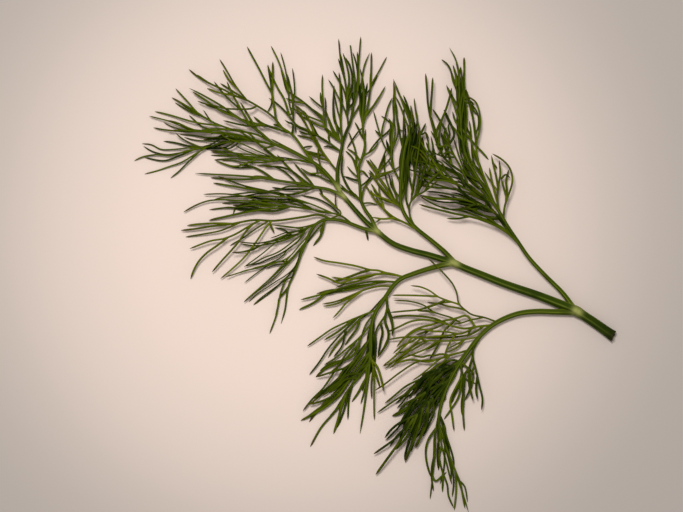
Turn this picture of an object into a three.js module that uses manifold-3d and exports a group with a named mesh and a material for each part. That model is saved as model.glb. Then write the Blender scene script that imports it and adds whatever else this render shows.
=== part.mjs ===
// Dill sprig: one feathery leaf of dill, cut from its plant and lying flat on a table.
// Units are millimetres and +Z is up. The plan is drawn around the middle of the leaf, and the
// finished group is set down with the middle of its box at x = y = 0 and its lowest point at z = 0.
//
// A dill leaf is a main stalk with side stalks in pairs at its forks. Each side stalk carries sprays
// of thread-like leaflets. Every stalk and every spray is a node of its own: its strands are tapered
// tubes, joined into one closed solid, with a fine gap where it leaves the stalk that carries it.
import * as THREE from 'three';
import { mergeVertices } from 'three/addons/utils/BufferGeometryUtils.js';
import Module from 'manifold-3d';

const wasm = await Module();
wasm.setup();

// ---- Driving dimensions
const GAP = 0.3;               // clear space between a spray and what it leaves or crosses
const THREAD = 0.62;           // diameter of a leaflet thread at its root
const THREAD_TIP = 0.3;        // and just before its tip
const THREAD_SIDES = 4;
const THREAD_STEP = 5;         // spacing of a thread's cross-sections along its length
const STALK_SIDES = 8;
const STALK_STEP = 4;
const SAMPLE = 0.8;            // spacing of the places where a strand's height is worked out
const KNOT = 1.6;              // spacing of the points that its curve then runs through
const ARCH_LENGTH = 25;        // strands shorter than this arch less high
const TIP_SPREAD = 0.5;        // the tips of a node end this much higher and lower by turns
const TIP_TURN = 2.4;
const RAMP = 2.5;              // a strand starts to climb over this distance from its root
const SLOPE = 0.35;            // steepest rise of a strand that climbs over another
const CELL = 0.35;             // grid of the height map that strands are laid on
const REACH = 75;              // the height map covers the square from -REACH to REACH

// ---- Finishes: colour, roughness
const finishes = {
  stalk: { color: 0x4f7016, roughness: 0.5 },
  side_stalk: { color: 0x6b8a24, roughness: 0.5 },
  leaf: { color: 0x33560c, roughness: 0.6 },
  young_leaf: { color: 0x5a7a14, roughness: 0.6 },
};

// ---- The plan. Every route is a list of x, y pairs over the table, from root to tip, chosen by
// hand. from: what the node grows on. wide: diameter at root and tip. high: height of the root, of
// the arch above the straight line, and of the tip. A spray's first route leaves its carrier, and
// the others start on routes before them.
const stalks = {
  main_stalk: {
    wide: [2.7, 0.4], high: [1.36, 0.9, 1.1], finish: 'stalk',
    routes: [
      [66.7, -16.9, 60, -12.2, 55.4, -9.4, 50, -7.2, 45, -5.3, 40, -3.6, 35, -1.8, 30, 0.2, 25, 2.2,
        21.8, 3.6, 15, 5.8, 10, 7.1, 5, 9, 0.8, 12.2, -2.7, 15.3, -7.5, 20.7, -10, 23.9,
        -10.5, 26.8, -10.4, 30, -9.8, 33, -9.3, 35.5, -9, 37.4, -7.9, 40.5, -6.9, 42.8, -6.3, 46,
        -5.9, 50, -5.6, 54, -6.1, 58, -6.9, 64.4],
      [-6.2, 46.5, -4.9, 51.5, -4.6, 54.8, -4.7, 58.6, -4.4, 61.9, -4, 66.8],
    ],
  },
  right_1_stalk: {
    from: 'main_stalk', wide: [1.3, 0.4], high: [0, 1.2, 1.3], finish: 'side_stalk',
    routes: [
      [55.9, -9.2, 52.6, -5, 47.6, 0, 43, 5, 40.1, 9.2, 36.9, 14, 34.6, 18, 31.2, 23.5, 28, 28.5,
        25.6, 33, 24.4, 38, 23.9, 44, 23.6, 50, 23.3, 57.5, 22.3, 61, 20.8, 63.7],
      [24.5, 37.5, 22.2, 41, 21.2, 42, 20.2, 43.9, 19.2, 46.2],
      [23.9, 44, 22.7, 48, 21.2, 50.8, 20, 53.2],
      [23.8, 46.5, 22.7, 52.5, 21.4, 56.5, 20.3, 58.9, 18.7, 60.4],
      [22.6, 53, 22.6, 55.5, 21.8, 58.8],
      [24, 42.5, 24.9, 50, 24.9, 56, 25, 61],
      [24.8, 49.5, 24.3, 54, 24, 58.3],
    ],
  },
  left_1_stalk: {
    from: 'main_stalk', wide: [1.7, 0.4], high: [0, 0.8, 0], finish: 'side_stalk',
    routes: [
      [56.4, -10, 50, -10.1, 45, -10, 40, -10.6, 35, -12.5, 31.5, -14.8, 28.3, -18, 25, -22.5,
        21.8, -27.5, 19.4, -33, 18, -38, 17.8, -41, 18.8, -44.5, 20.2, -49, 22.2, -54, 24.2, -60,
        26.2, -66.3],
      [22.4, -54.6, 22.7, -60, 22.2, -65.7],
      [23.3, -57, 25, -58.8, 25.5, -60.5, 25.9, -63.5],
      [18.1, -37.5, 17, -43, 16.7, -50, 16.2, -55, 15.8, -59, 15.4, -62.6],
      [17, -43, 15, -45.6, 14.2, -48.5, 14.4, -52, 15.6, -56.4],
      [18.2, -42.5, 18.6, -47.5, 19.6, -51, 20.5, -54.5, 21.5, -58.5],
      [18.6, -47.5, 17.9, -50.5, 18.9, -55, 20.2, -58.5, 20.5, -61.5, 22, -65],
      [18.9, -55, 18.9, -60.7],
    ],
  },
  right_2_stalk: {
    from: 'main_stalk', wide: [1.35, 0.4], high: [0, 0.8, 1.2], finish: 'side_stalk',
    routes: [
      [22.2, 3.4, 19.5, 6.6, 16.5, 9.2, 14, 11.2, 12, 12.8, 9.3, 15.6, 7.8, 18.2, 7.1, 21, 7.2, 25,
        7.6, 30, 8.4, 36, 9.8, 42, 8, 47.5, 6.5, 51.5, 5.1, 55],
      [7.2, 22, 5.9, 23, 5, 25.5, 4.6, 28],
      [8.2, 35, 10.6, 42, 10.2, 44.5, 9, 47.5, 7.9, 50.4],
      [10.5, 43, 10, 47.6],
    ],
  },
  left_2_stalk: {
    from: 'main_stalk', wide: [1.5, 0.45], high: [0, 0.8, 0.2], finish: 'side_stalk',
    routes: [
      [22, 3.4, 17, 2.5, 13.5, 1.5, 10, 0.3, 7.3, -0.8, 5.2, -2.6, 3.5, -5, 1.8, -7.6, 0.2, -10,
        -0.8, -13, -1.2, -17, -1.2, -21, -1.6, -25, -2.3, -31, -3.2, -38, -4.2, -44.3],
    ],
  },
  right_3_stalk: {
    from: 'main_stalk', wide: [1, 0.4], high: [0, 0.8, 0.9], finish: 'side_stalk',
    routes: [
      [0.6, 12.6, -1.1, 16.1, -2.5, 18, -3.8, 20.7, -4.3, 25.8, -4.6, 28.3, -4.4, 30.9, -3.7, 32.6,
        -2.8, 36.5, -3.3, 40, -3.5, 45, -3.1, 50, -3.7, 54, -2.9, 58.9, -1.5, 62.3],
      [-4.6, 27, -5.2, 30, -5.3, 34, -6.2, 37.2, -7.4, 39.9],
      [-5.2, 29.5, -6.5, 33.2, -8.3, 34.9],
      [-3.3, 33.5, -1, 34.8, 0.3, 36.2, 1, 37.5],
      [-3.9, 21, -6.5, 23.2, -8.2, 26, -9.3, 28.5, -9.3, 31, -8.9, 34],
      [-3.5, 42, -2.6, 45, -1.5, 51, -1.1, 57.3, -1, 62.4],
      [-2.6, 44.8, 0, 48, 2.9, 52.9],
      [-1.5, 51, -0.9, 53.5, 1.2, 57.3, 3.3, 61.2],
    ],
  },
  left_3_stalk: {
    from: 'main_stalk', wide: [1.05, 0.45], high: [0, 0.8, 0], finish: 'side_stalk',
    routes: [
      [0.6, 12, -2.7, 13, -5.2, 13.9, -9, 15.3, -13.6, 15.7, -16.5, 14.4, -18.3, 12, -19.5, 8.8,
        -20.8, 5.8, -21.8, 2.7, -23.1, -0.4, -24.3, -3.2, -25.2, -9.6, -26.3, -13.5],
      [-14, 15.6, -15.2, 11, -17.3, 8.3],
      [-21, 5.2, -23, 1.4, -25.9, -1.6, -28.9, -4.4, -34, -8.3],
      [-24.9, -0.6, -26.3, -4.5, -27.2, -8.8, -27.7, -11.3, -29.5, -16.3],
    ],
  },
  far_stalk: {
    from: 'main_stalk', wide: [1.05, 0.45], high: [0, 1.2, 2.4], finish: 'side_stalk',
    routes: [
      [-10.2, 24.6, -12.2, 27, -15, 30, -17.5, 31.8, -20, 33, -22.5, 34.3, -25.6, 35.7, -28.5, 37,
        -32.2, 40.1, -35.8, 42.6, -38.4, 44.1, -42.3, 47, -48.3, 50.5, -51.9, 52.3],
      [-34.9, 42, -37.5, 46.5, -39.8, 50.6, -41.4, 54.2],
      [-37.2, 46, -40.4, 48.8, -43, 51.6, -45, 54.2],
    ],
  },
  low_stalk: {
    from: 'main_stalk', wide: [0.9, 0.4], high: [0, 0.6, 1.2], finish: 'side_stalk',
    routes: [
      [-8.9, 22.6, -13.1, 24.1, -16.5, 24.7, -20.8, 25.6, -26, 26.4, -32, 27.3, -38, 27.9,
        -45, 28.3, -50.3, 28.6],
      [-16.5, 24.6, -19.5, 23.6, -22.3, 22.8, -26.9, 22.8, -31, 23.8, -37, 25.2, -43.9, 27.8],
      [-28, 23, -37.5, 24.6, -45.3, 25.9],
      [-17.6, 24.9, -21, 27.5, -23.5, 29.3, -26.9, 30.4, -31, 30.4],
    ],
  },
};

const sprays = {
  // Right frond of the first fork: a tall column of threads with loops beside it
  right_1_arch_spray: {
    from: 'right_1_stalk', high: [0, 0.8, 2.6], finish: 'leaf',
    routes: [
      [32.4, 21.5, 30.8, 26.5, 29, 31, 28.2, 36, 29, 40, 29.4, 43, 29, 46, 28, 48.6, 25.4, 50.1],
      [28.2, 36, 27.9, 40, 27.3, 44, 26.3, 47.3],
      [28.6, 32.5, 27.2, 36, 26, 40.5],
    ],
  },
  right_1_loop_spray: {
    from: 'right_1_stalk', high: [0, 1.5, 3.5], finish: 'young_leaf',
    routes: [
      [35.6, 16.3, 36.2, 19.5, 37, 22, 37.9, 24.5, 38.3, 27, 37.5, 30, 35.6, 32.2, 32.7, 34],
      [36.9, 21.8, 36, 24, 35.2, 27],
    ],
  },
  right_1_inner_spray: {
    from: 'right_1_stalk', high: [0, 0.8, 2.4], finish: 'young_leaf',
    routes: [
      [34.8, 17.7, 34.1, 21.5, 34.4, 25, 34.9, 28.5, 34.6, 32.2],
      [34.4, 24.5, 33.8, 27.5, 33.1, 30.5, 32.4, 33.5],
      [34.3, 23.5, 32.5, 26, 30.5, 29.1],
    ],
  },
  right_1_tall_spray: {
    from: 'right_1_stalk', high: [0, 2.2, 3.2], finish: 'leaf',
    routes: [
      [29.5, 26.1, 24, 29, 19.5, 32.5, 17.6, 36, 16.9, 38.5, 15.8, 42.5, 15.3, 44.5, 14.7, 48,
        14.4, 52.5, 14.1, 56.4],
      [15.3, 44.5, 15.5, 47, 15.8, 51, 16.1, 55.3],
      [17.6, 36.2, 18.3, 42.5, 19.7, 46.2, 20.8, 49.8, 21.4, 52.4],
      [19.5, 32.5, 20.5, 36.5, 20.2, 39, 18, 43.3, 16, 46.5],
    ],
  },
  right_1_fan_spray: {
    from: 'right_1_stalk', high: [0, 2.4, 3.8], finish: 'leaf',
    routes: [
      [33.4, 20, 28, 22.8, 22, 26, 16, 30, 12, 34.5],
      [26, 24, 20, 26.3, 15, 26.8, 11, 28.3],
      [22, 26, 18, 30, 14, 31.5, 10.5, 32],
      [19, 28.2, 16, 32, 13.5, 36, 12.5, 38],
      [29, 22.3, 23, 23.8, 17, 24.6, 12.5, 25],
    ],
  },
  right_1_low_spray: {
    from: 'right_1_stalk', high: [0, 2, 3.6], finish: 'leaf',
    routes: [
      [35.8, 15.9, 29, 19.8, 24.8, 18.8, 20.5, 18.5, 17, 19.6, 14.5, 20.9, 12.4, 22.2],
      [29, 19.8, 24, 21.3, 19, 21.3, 15.5, 21.5, 12.6, 22.3],
    ],
  },
  right_1_under_spray: {
    from: 'right_1_stalk', high: [0, 1.6, 2.6], finish: 'leaf',
    routes: [
      [40.6, 8.5, 37, 11.8, 33.5, 14, 29.5, 15.6, 26.5, 16.4, 22, 17.3, 18, 18.3, 14.5, 19.2,
        12.3, 19.9],
      [36, 12.5, 32, 15.8, 28, 18, 24.8, 19.4],
    ],
  },

  // Left frond of the first fork: a net of long threads, a dense fan and a thin tail
  left_1_long_spray: {
    from: 'left_1_stalk', high: [0, 1.8, 3], finish: 'young_leaf',
    routes: [
      [34.4, -12.9, 30.5, -11.7, 27, -10.9, 25, -9.5, 23.3, -7.8, 22.8, -5, 21.6, -2.3, 19.5, 0.2,
        17.5, 2.3, 14.8, 4.8],
      [23.3, -7.8, 20, -6.9, 17.5, -5.9, 15.5, -4.4, 12.8, -3.2, 9.9, -2.8],
      [17.6, -6, 13, -5.6, 9, -5.5, 4.7, -5.5],
      [19.8, -6.9, 16, -8.4, 12, -9.5, 8, -9.9, 4.2, -10.3],
    ],
  },
  left_1_net_spray: {
    from: 'left_1_stalk', high: [0, 1.4, 2.4], finish: 'young_leaf',
    routes: [
      [33, -13.8, 29, -14.2, 25, -14.8, 22, -14.2, 18.5, -13.1, 14, -12.3, 10, -12.8, 6.5, -14.4,
        3.4, -15.8],
      [28, -14.4, 24, -16.2, 20, -15.7, 16, -15.5, 12.5, -15, 10, -16.2, 8, -17.7, 6, -20],
      [24, -16.2, 21, -16.6, 17, -17, 12, -17.3, 8, -17.2, 3.8, -17.9],
    ],
  },
  left_1_cross_spray: {
    from: 'left_1_stalk', high: [0, 1, 1.6], finish: 'young_leaf',
    routes: [
      [29.4, -16.9, 26, -17.7, 22, -18.2, 17.5, -18.3, 14, -18.2, 11, -19.6, 8, -22, 4.5, -24.4,
        2, -25.4],
      [17.5, -18.3, 14.5, -20.3, 10, -22.2, 7, -23.5, 4, -26],
    ],
  },
  left_1_lone_spray: {
    from: 'left_1_stalk', high: [0, 1, 2.6], finish: 'young_leaf',
    routes: [
      [26.2, -20.9, 20, -22.6, 17, -23.5, 12.2, -23.9, 7, -27, 2.3, -30.6, -0.1, -32.1],
    ],
  },
  left_1_dense_spray: {
    from: 'left_1_stalk', high: [0, 1.2, 1], finish: 'leaf',
    routes: [
      [24, -24, 18, -27, 12.5, -29, 8.5, -31, 5.5, -33.5, 2.7, -35.8],
      [14, -28.5, 10, -32, 5, -35.2, 0.6, -38.4],
      [18, -27, 14, -31.5, 10, -36, 4.7, -39.3],
    ],
  },
  left_1_bottom_spray: {
    from: 'left_1_stalk', high: [0, 1.8, 1.8], finish: 'leaf',
    routes: [
      [21, -29, 16, -34, 12, -38.5, 8, -43, 5, -46, 2, -48.2, -0.4, -49.9],
      [12, -38.5, 7, -41, 4.5, -43, 2.7, -45.4],
      [10.5, -40.2, 7, -46, 3.5, -51, 0.2, -55.7],
      [12, -38.5, 9.5, -44, 5.8, -48.7],
      [13.5, -36.8, 12, -43, 10, -48, 8.2, -51.7],
      [15, -35, 14.5, -41, 12.8, -45, 11.4, -48.2],
    ],
  },
  left_1_side_spray: {
    from: 'left_1_stalk', high: [0, 1, 2.4], finish: 'leaf',
    routes: [
      [28.2, -18.1, 27.2, -22, 28.2, -26.5, 29.2, -31, 30, -34.5, 29.7, -37.6],
      [27.4, -23, 26.3, -26, 26.2, -30, 26.7, -32.5, 27.4, -34.9],
    ],
  },
  left_1_low_side_spray: {
    from: 'left_1_stalk', high: [0, 0.8, 0.6], finish: 'leaf',
    routes: [
      [23.8, -24.5, 24.3, -28, 24.8, -33, 24.6, -38, 25, -43.4],
      [24.4, -28.5, 22.5, -31.5, 21, -35, 21.5, -39, 22.1, -43.5],
    ],
  },

  // Right frond of the second fork: a dense brush that points up the plan
  right_2_bend_spray: {
    from: 'right_2_stalk', high: [0, 1, 2], finish: 'leaf',
    routes: [
      [11.2, 13.5, 9.9, 16, 9.5, 18.5, 9.9, 20.5, 11.5, 22.2, 14, 23.6, 17.5, 26.5],
      [10, 20.7, 10.5, 25, 11.5, 31, 12.5, 39.5, 11.5, 44.5, 10.9, 49.6],
      [12.4, 39, 13.2, 40.5, 14.2, 42.6],
      [11.8, 22.4, 13, 27, 14.5, 32, 14.8, 37, 13.9, 40],
    ],
  },
  right_2_left_spray: {
    from: 'right_2_stalk', high: [0, 0.8, 1.6], finish: 'leaf',
    routes: [
      [7.3, 26, 4.8, 31, 4.6, 36, 5, 42, 5.5, 47, 5.4, 53.5],
      [4.7, 33, 3, 35.5, 1.9, 37.8, 0.9, 41, -0.5, 46.1],
      [1.8, 38, 2, 41, 2.8, 44, 3.6, 47, 4.8, 49.7],
    ],
  },
  right_2_low_spray: {
    from: 'right_2_stalk', high: [0, 1, 1.6], finish: 'young_leaf',
    routes: [
      [12.4, 12.4, 9, 14.4, 5, 16.4, 2.3, 18.7, 0.5, 20.5, -0.8, 22.3, -2, 24.2, -2.8, 25.5],
      [5.5, 16.1, 2, 15.8, -0.8, 16.3],
      [2.4, 18.7, 1.8, 21, 1.2, 23.3, 1, 25],
    ],
  },
  right_2_web_spray: {
    from: 'right_2_stalk', high: [0, 0.8, 1.6], finish: 'young_leaf',
    routes: [
      [7.6, 18.6, 6, 20, 3, 23.3, 1, 25.6, -0.4, 27.4, -1.9, 28.9],
      [-0.3, 27.3, 0.7, 29.1, -1.5, 32.4],
      [-0.2, 27.2, 2, 27.9, 4, 28.8, 6, 29.6],
    ],
  },

  // Left frond of the second fork: flat side sprays, then a drooping brush
  left_2_upper_spray: {
    from: 'left_2_stalk', high: [0, 0.8, 1.6], finish: 'young_leaf',
    routes: [
      [7.8, -0.5, 5, 0.4, 2.8, 0.8, 1, 1.4, -1.5, 1.6, -5, 2.6, -10, 3.5, -14.5, 4.2, -17.2, 5.2],
      [3, 0.8, 0, 0.3, -3.5, -0.3, -7, -1.2, -9.8, -2.2, -11.5, -1.5, -13.5, -0.6, -16.4, 0.4],
    ],
  },
  left_2_mid_spray: {
    from: 'left_2_stalk', high: [0, 0.6, 1.2], finish: 'leaf',
    routes: [
      [6.2, -1.7, 0, -1.6, -6, -2.6, -12, -4.2, -16.3, -5],
      [-11, -3.9, -15.5, -5.4, -20.8, -6.8],
      [-13.5, -4.5, -17, -7.5, -21.3, -9.6],
    ],
  },
  left_2_side_spray: {
    from: 'left_2_stalk', high: [0, 0.8, 1.4], finish: 'young_leaf',
    routes: [
      [5, -2.9, 1, -3, -3, -4, -7, -5.7, -11, -7.3, -14.8, -8],
      [-3.8, -4.4, -8, -7.6, -10, -10, -11.8, -11.9],
    ],
  },
  left_2_brush_spray_1: {
    from: 'left_2_stalk', high: [0, 0.8, 1.2], finish: 'leaf',
    routes: [
      [0.6, -9.4, -4, -11.3, -8, -13, -12, -14.9, -15.5, -17.3, -19, -19.8],
      [-6, -12.2, -10, -15.4, -14.3, -18.1],
      [-5, -11.8, -9, -15.8, -13, -20.3, -15.8, -24.5, -18.4, -27.8],
    ],
  },
  left_2_brush_spray_2: {
    from: 'left_2_stalk', high: [0, 0.8, 0.8], finish: 'leaf',
    routes: [
      [-0.9, -13.5, -4.5, -17.5, -8, -20.5, -11, -23, -14.2, -25],
      [-5, -18, -8.5, -22.5, -11.5, -27, -14.5, -31.5, -17.5, -34.5, -20.2, -37.9],
    ],
  },
  left_2_brush_spray_3: {
    from: 'left_2_stalk', high: [0, 0.8, 1], finish: 'leaf',
    routes: [
      [-1.2, -17.6, -4, -21.5, -8, -25.5, -12, -26.9, -16.5, -28.4],
      [-6, -23.5, -9.5, -29, -12.5, -32, -15, -33.8],
    ],
  },
  left_2_brush_spray_4: {
    from: 'left_2_stalk', high: [0, 0.6, 0.2], finish: 'leaf',
    routes: [
      [-1.3, -21.5, -4, -26, -8, -29.9, -12, -33.7, -15.5, -35.3, -18.5, -36],
      [-7, -28.9, -10, -33.2, -13.5, -36.4, -17, -38.6, -20.8, -40.6],
    ],
  },
  left_2_brush_spray_5: {
    from: 'left_2_stalk', high: [0, 0.4, 0], finish: 'leaf',
    routes: [
      [-1.5, -24.6, -5, -29, -7.5, -32, -9, -35, -12, -38.9, -15, -42.4, -18.1, -47.9],
      [-8.3, -33.5, -9.5, -37, -10.4, -40.5, -11.6, -44.3],
      [-6.6, -31, -7.3, -34.5, -7.6, -40.4],
    ],
  },
  left_2_inner_spray: {
    from: 'left_2_stalk', high: [0, 0.4, 0.5], finish: 'young_leaf',
    routes: [
      [-1.3, -22, -0.3, -27, -0.3, -32, -0.3, -36, -0.2, -40.4],
      [-0.9, -24, 0.6, -25.5, 1.6, -28.5, 2.5, -32.4],
    ],
  },
  left_2_edge_spray: {
    from: 'left_2_stalk', high: [0, 0.8, 1.6], finish: 'leaf',
    routes: [
      [2.9, -5.9, 3.4, -9, 2.7, -12.5, 3.7, -15.5, 3.5, -18.3, 1.8, -21.3, 0.6, -23],
      [3.4, -9, 4.7, -12.5, 4.9, -16.9],
    ],
  },

  // Right frond of the third fork

  // Left frond of the third fork: a dense band, and a spray that hangs down the plan
  left_3_band_spray: {
    from: 'left_3_stalk', high: [0, 0.8, 1.2], finish: 'leaf',
    routes: [
      [-6.3, 14.4, -9.5, 16.7, -14.1, 17.8, -19.2, 18.7, -26.9, 19.6, -32, 20.4, -38, 21, -46, 21,
        -50, 19.7, -53.6, 17.7],
      [-32, 20.4, -36, 22, -42, 22.8, -48, 22.7],
      [-24, 19.3, -33, 18.2, -39.7, 16.9, -46.5, 15.4],
    ],
  },
  left_3_thread_spray: {
    from: 'left_3_stalk', high: [0, 0.8, 1.4], finish: 'young_leaf',
    routes: [
      [-12.6, 15.6, -15.7, 17, -19.8, 16.4, -28.2, 15.3, -34, 15.5, -40.2, 14.4, -44.8, 13.9,
        -50.6, 13, -54.3, 12.6],
      [-32.5, 15.4, -35, 13.9, -39.1, 11.5, -42.2, 10.3, -45.8, 9.7, -51.8, 7.5],
      [-41.5, 10.5, -44.2, 8.3, -46.8, 6.5, -49.1, 4.2, -50.6, 1.7, -51.6, -0.9],
      [-34.5, 14.2, -35.6, 12.9, -38.6, 8.8, -43.2, 3.7, -45.6, 0.9],
      [-29, 15.3, -30.5, 13.4, -33.3, 9.3, -36.6, 5, -40.7, 1.2, -43.2, -0.9],
    ],
  },
  left_3_fan_spray: {
    from: 'left_3_stalk', high: [0, 1.2, 1.8], finish: 'leaf',
    routes: [
      [-16.2, 14.6, -19.8, 13, -24.3, 11.6, -28.2, 10, -32, 8.3, -37.1, 6.6, -40, 6.5],
      [-20, 13, -24, 13.6, -28.6, 14.1],
      [-26, 11, -31, 6.5, -36.6, 2.4],
    ],
  },
  left_3_low_spray: {
    from: 'left_3_stalk', high: [0, 0.8, 1], finish: 'leaf',
    routes: [
      [-18.5, 11.6, -21.5, 8, -24.3, 5, -28.2, 3.4, -35.3, 1.6, -41.7, -0.4],
      [-24, 5.2, -28.9, -0.4, -34, -5, -36.7, -7.4],
    ],
  },

  // The far end of the leaf: upright threads in the middle
  top_left_spray: {
    from: 'main_stalk', high: [0, 0.6, 1.6], finish: 'leaf',
    routes: [
      [-9.1, 36.6, -9.6, 42, -9.6, 47, -9.8, 54.3, -10.1, 56.8],
      [-9.6, 40, -11.3, 43, -11.7, 47, -11.4, 53.1],
    ],
  },
  top_mid_spray: {
    from: 'main_stalk', high: [0, 0.6, 1.8], finish: 'leaf',
    routes: [
      [-7.5, 41.5, -7.9, 47, -8, 51.7, -8.7, 56, -9.6, 60, -10.2, 66.2],
      [-7.9, 49, -7.3, 55, -8, 59.1, -9, 62.2],
    ],
  },
  mid_left_spray: {
    from: 'main_stalk', high: [0, 1, 1.6], finish: 'leaf',
    routes: [
      [-9.1, 36.8, -12, 39.7, -14, 41.6, -14.4, 43.2, -14.4, 46, -14.6, 49, -14.8, 53, -14.7, 56.2],
      [-14.3, 42.4, -17, 43.8, -20, 45, -22, 46.2, -24, 47],
      [-14.4, 43.4, -17.5, 46.3, -20.5, 48.8, -22.5, 50.2, -24.4, 51.6],
      [-14.5, 46.5, -16.5, 48.3, -18.5, 50.1],
    ],
  },
  branch_spray: {
    from: 'main_stalk', high: [0, 1, 2.2], finish: 'young_leaf',
    routes: [
      [-10.4, 29, -12.5, 31.5, -14.5, 34, -16.3, 36.4, -17.6, 38.6, -18.6, 40.8, -19.8, 43.3,
        -22.5, 47.8],
    ],
  },
  inner_feather_spray: {
    from: 'main_stalk', high: [0, 0.8, 1.6], finish: 'leaf',
    routes: [
      [-9.5, 34.6, -13, 37.2, -16, 39, -19, 40.7, -21.5, 41.7, -23, 43.2, -25.5, 46.3, -28, 48.5,
        -29.7, 49.6],
      [-23, 43.3, -22.8, 48, -22.5, 51, -22.6, 54, -23.1, 58],
      [-22.9, 45, -24, 48, -24.1, 51, -24.5, 54.5, -25.3, 58.5, -26.4, 62.4],
      [-24.2, 51.5, -25.6, 56, -27.2, 60.4, -29.1, 64.2],
    ],
  },

  // Feathers along the far stalk
  middle_feather_spray: {
    from: 'far_stalk', high: [0, 1, 1.4], finish: 'leaf',
    routes: [
      [-17.4, 31.5, -20, 35.3, -22.3, 38.5, -24, 40, -26.3, 41.5, -27.6, 43.5, -28, 46, -28.5, 49,
        -28.8, 51.5, -28.6, 55, -28.6, 59.8],
      [-28.8, 51.2, -30.5, 54, -32, 57, -35.8, 64],
      [-23.8, 39.9, -26, 40.4, -28, 41.3, -31, 41.8, -36, 41.8, -42.4, 43.3],
    ],
  },
  outer_feather_spray: {
    from: 'middle_feather_spray', high: [0, 0.8, 0.5], finish: 'young_leaf',
    routes: [
      [-26, 41.2, -28, 43.8, -30, 45.5, -32, 46.8, -36.1, 49.1, -39.6, 50.3, -41.7, 51.6,
        -45.5, 53.3, -49.8, 55.8, -52.1, 57.7],
      [-36.1, 49.1, -38.9, 52.9, -41.9, 58, -43.5, 60.5],
    ],
  },
  far_upper_spray: {
    from: 'far_stalk', high: [0, 0.6, 0.8], finish: 'leaf',
    routes: [
      [-28.2, 36.8, -33, 39.3, -39.9, 40.8, -45.5, 42.9, -50.1, 45.8, -54.7, 48.6, -56.9, 49.8],
      [-45, 42.7, -49.6, 45.5, -52.1, 48.3, -55.8, 52.3],
      [-43, 42, -49.8, 42.7, -57.8, 45, -61.6, 45.9],
      [-39.9, 40.8, -50.6, 40.7, -57.8, 43.2, -63.2, 44.6],
      [-44, 40.6, -52.1, 40.2, -59.8, 40.9, -62, 41.4],
    ],
  },
  far_band_spray: {
    from: 'far_stalk', high: [0, 0.4, 0.1], finish: 'leaf',
    routes: [
      [-26.6, 36.2, -34.3, 37.6, -41.9, 37.1, -47, 35.9, -52, 35.7, -56, 35.3, -60, 35.3,
        -62.5, 36.6, -65.2, 36.9],
      [-48, 35.8, -53, 34.7, -57, 33.6, -61, 33.8, -65, 33.2, -67.4, 32.1],
      [-47, 35.9, -51, 33.5, -54, 31.7, -57.5, 30.5, -61, 29.3, -64.5, 28.4],
      [-49.2, 34.8, -53, 31, -55, 29, -57.2, 27.3],
      [-49, 35.8, -53.7, 38.1, -55.7, 39.8],
    ],
  },
  near_band_spray: {
    from: 'far_stalk', high: [0, 0.4, 0.8], finish: 'leaf',
    routes: [
      [-17, 31.2, -21, 32.2, -25, 32.3, -29.4, 32, -34.3, 32.6, -39.4, 33.5, -43.2, 34.3, -46, 34.6],
      [-33, 32.4, -39, 30.5, -44.8, 32.2],
    ],
  },
};

// ---- Helpers

// A closed section for the extrusions: a regular polygon
function sectionShape(radius, sides) {
  const corners = [];
  for (let i = 0; i < sides; i += 1) {
    const angle = (i / sides) * Math.PI * 2;
    corners.push(new THREE.Vector2(radius * Math.cos(angle), radius * Math.sin(angle)));
  }
  return new THREE.Shape(corners);
}

// A tube along a strand's curve, tapered from its root to its tip. grow widens it all round.
function tubeSolid(strand, grow = 0) {
  const { curve, radii, sides, step } = strand;
  const steps = Math.max(2, Math.round(curve.getLength() / step));
  const widest = Math.max(...radii) + grow;
  const geometry = new THREE.ExtrudeGeometry(sectionShape(widest, sides), {
    steps, extrudePath: curve, bevelEnabled: false,
  });
  const spine = curve.getSpacedPoints(steps);
  const position = geometry.getAttribute('position');
  const corner = new THREE.Vector3();
  for (let i = 0; i < position.count; i += 1) {
    corner.fromBufferAttribute(position, i);
    let nearest = 0;
    for (let k = 1; k <= steps; k += 1) {
      if (corner.distanceToSquared(spine[k]) < corner.distanceToSquared(spine[nearest])) nearest = k;
    }
    const radius = radiusAt(radii, nearest / steps) + grow;
    corner.sub(spine[nearest]).multiplyScalar(radius / widest).add(spine[nearest]);
    position.setXYZ(i, corner.x, corner.y, corner.z);
  }
  return toSolid(geometry);
}

// Radius at a fraction of the length: even from root to tip
function radiusAt([root, tip], t) {
  return root + (tip - root) * t;
}

function toSolid(geometry) {
  geometry.deleteAttribute('normal');
  geometry.deleteAttribute('uv');
  const merged = mergeVertices(geometry, 1e-4);
  return new wasm.Manifold(new wasm.Mesh({
    numProp: 3,
    vertProperties: new Float32Array(merged.getAttribute('position').array),
    triVerts: new Uint32Array(merged.getIndex().array),
  }));
}

function toGeometry(solid) {
  const mesh = solid.getMesh();
  const geometry = new THREE.BufferGeometry();
  geometry.setAttribute('position', new THREE.BufferAttribute(mesh.vertProperties, 3));
  geometry.setIndex(new THREE.BufferAttribute(mesh.triVerts, 1));
  geometry.computeVertexNormals();
  return geometry;
}

// The largest piece of a solid that a cut has divided
function largestPiece(solid) {
  return solid.decompose().reduce((best, piece) => (piece.volume() > best.volume() ? piece : best));
}

// The point of the laid strands that is nearest to a place on the plan
function nearestOn(strands, x, y) {
  let best = { point: null, radius: 0 };
  let least = Infinity;
  for (const strand of strands) {
    strand.samples.forEach((point, index) => {
      const distance = Math.hypot(point.x - x, point.y - y);
      if (distance < least) {
        least = distance;
        best = { point, radius: radiusAt(strand.radii, index / (strand.samples.length - 1)) };
      }
    });
  }
  return { ...best, distance: least };
}

// ---- Laying: a map of how high the nodes laid so far reach, so that the next ones pass over them
const mapSide = Math.ceil((2 * REACH) / CELL);
const heightMap = new Float32Array(mapSide * mapSide);

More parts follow.
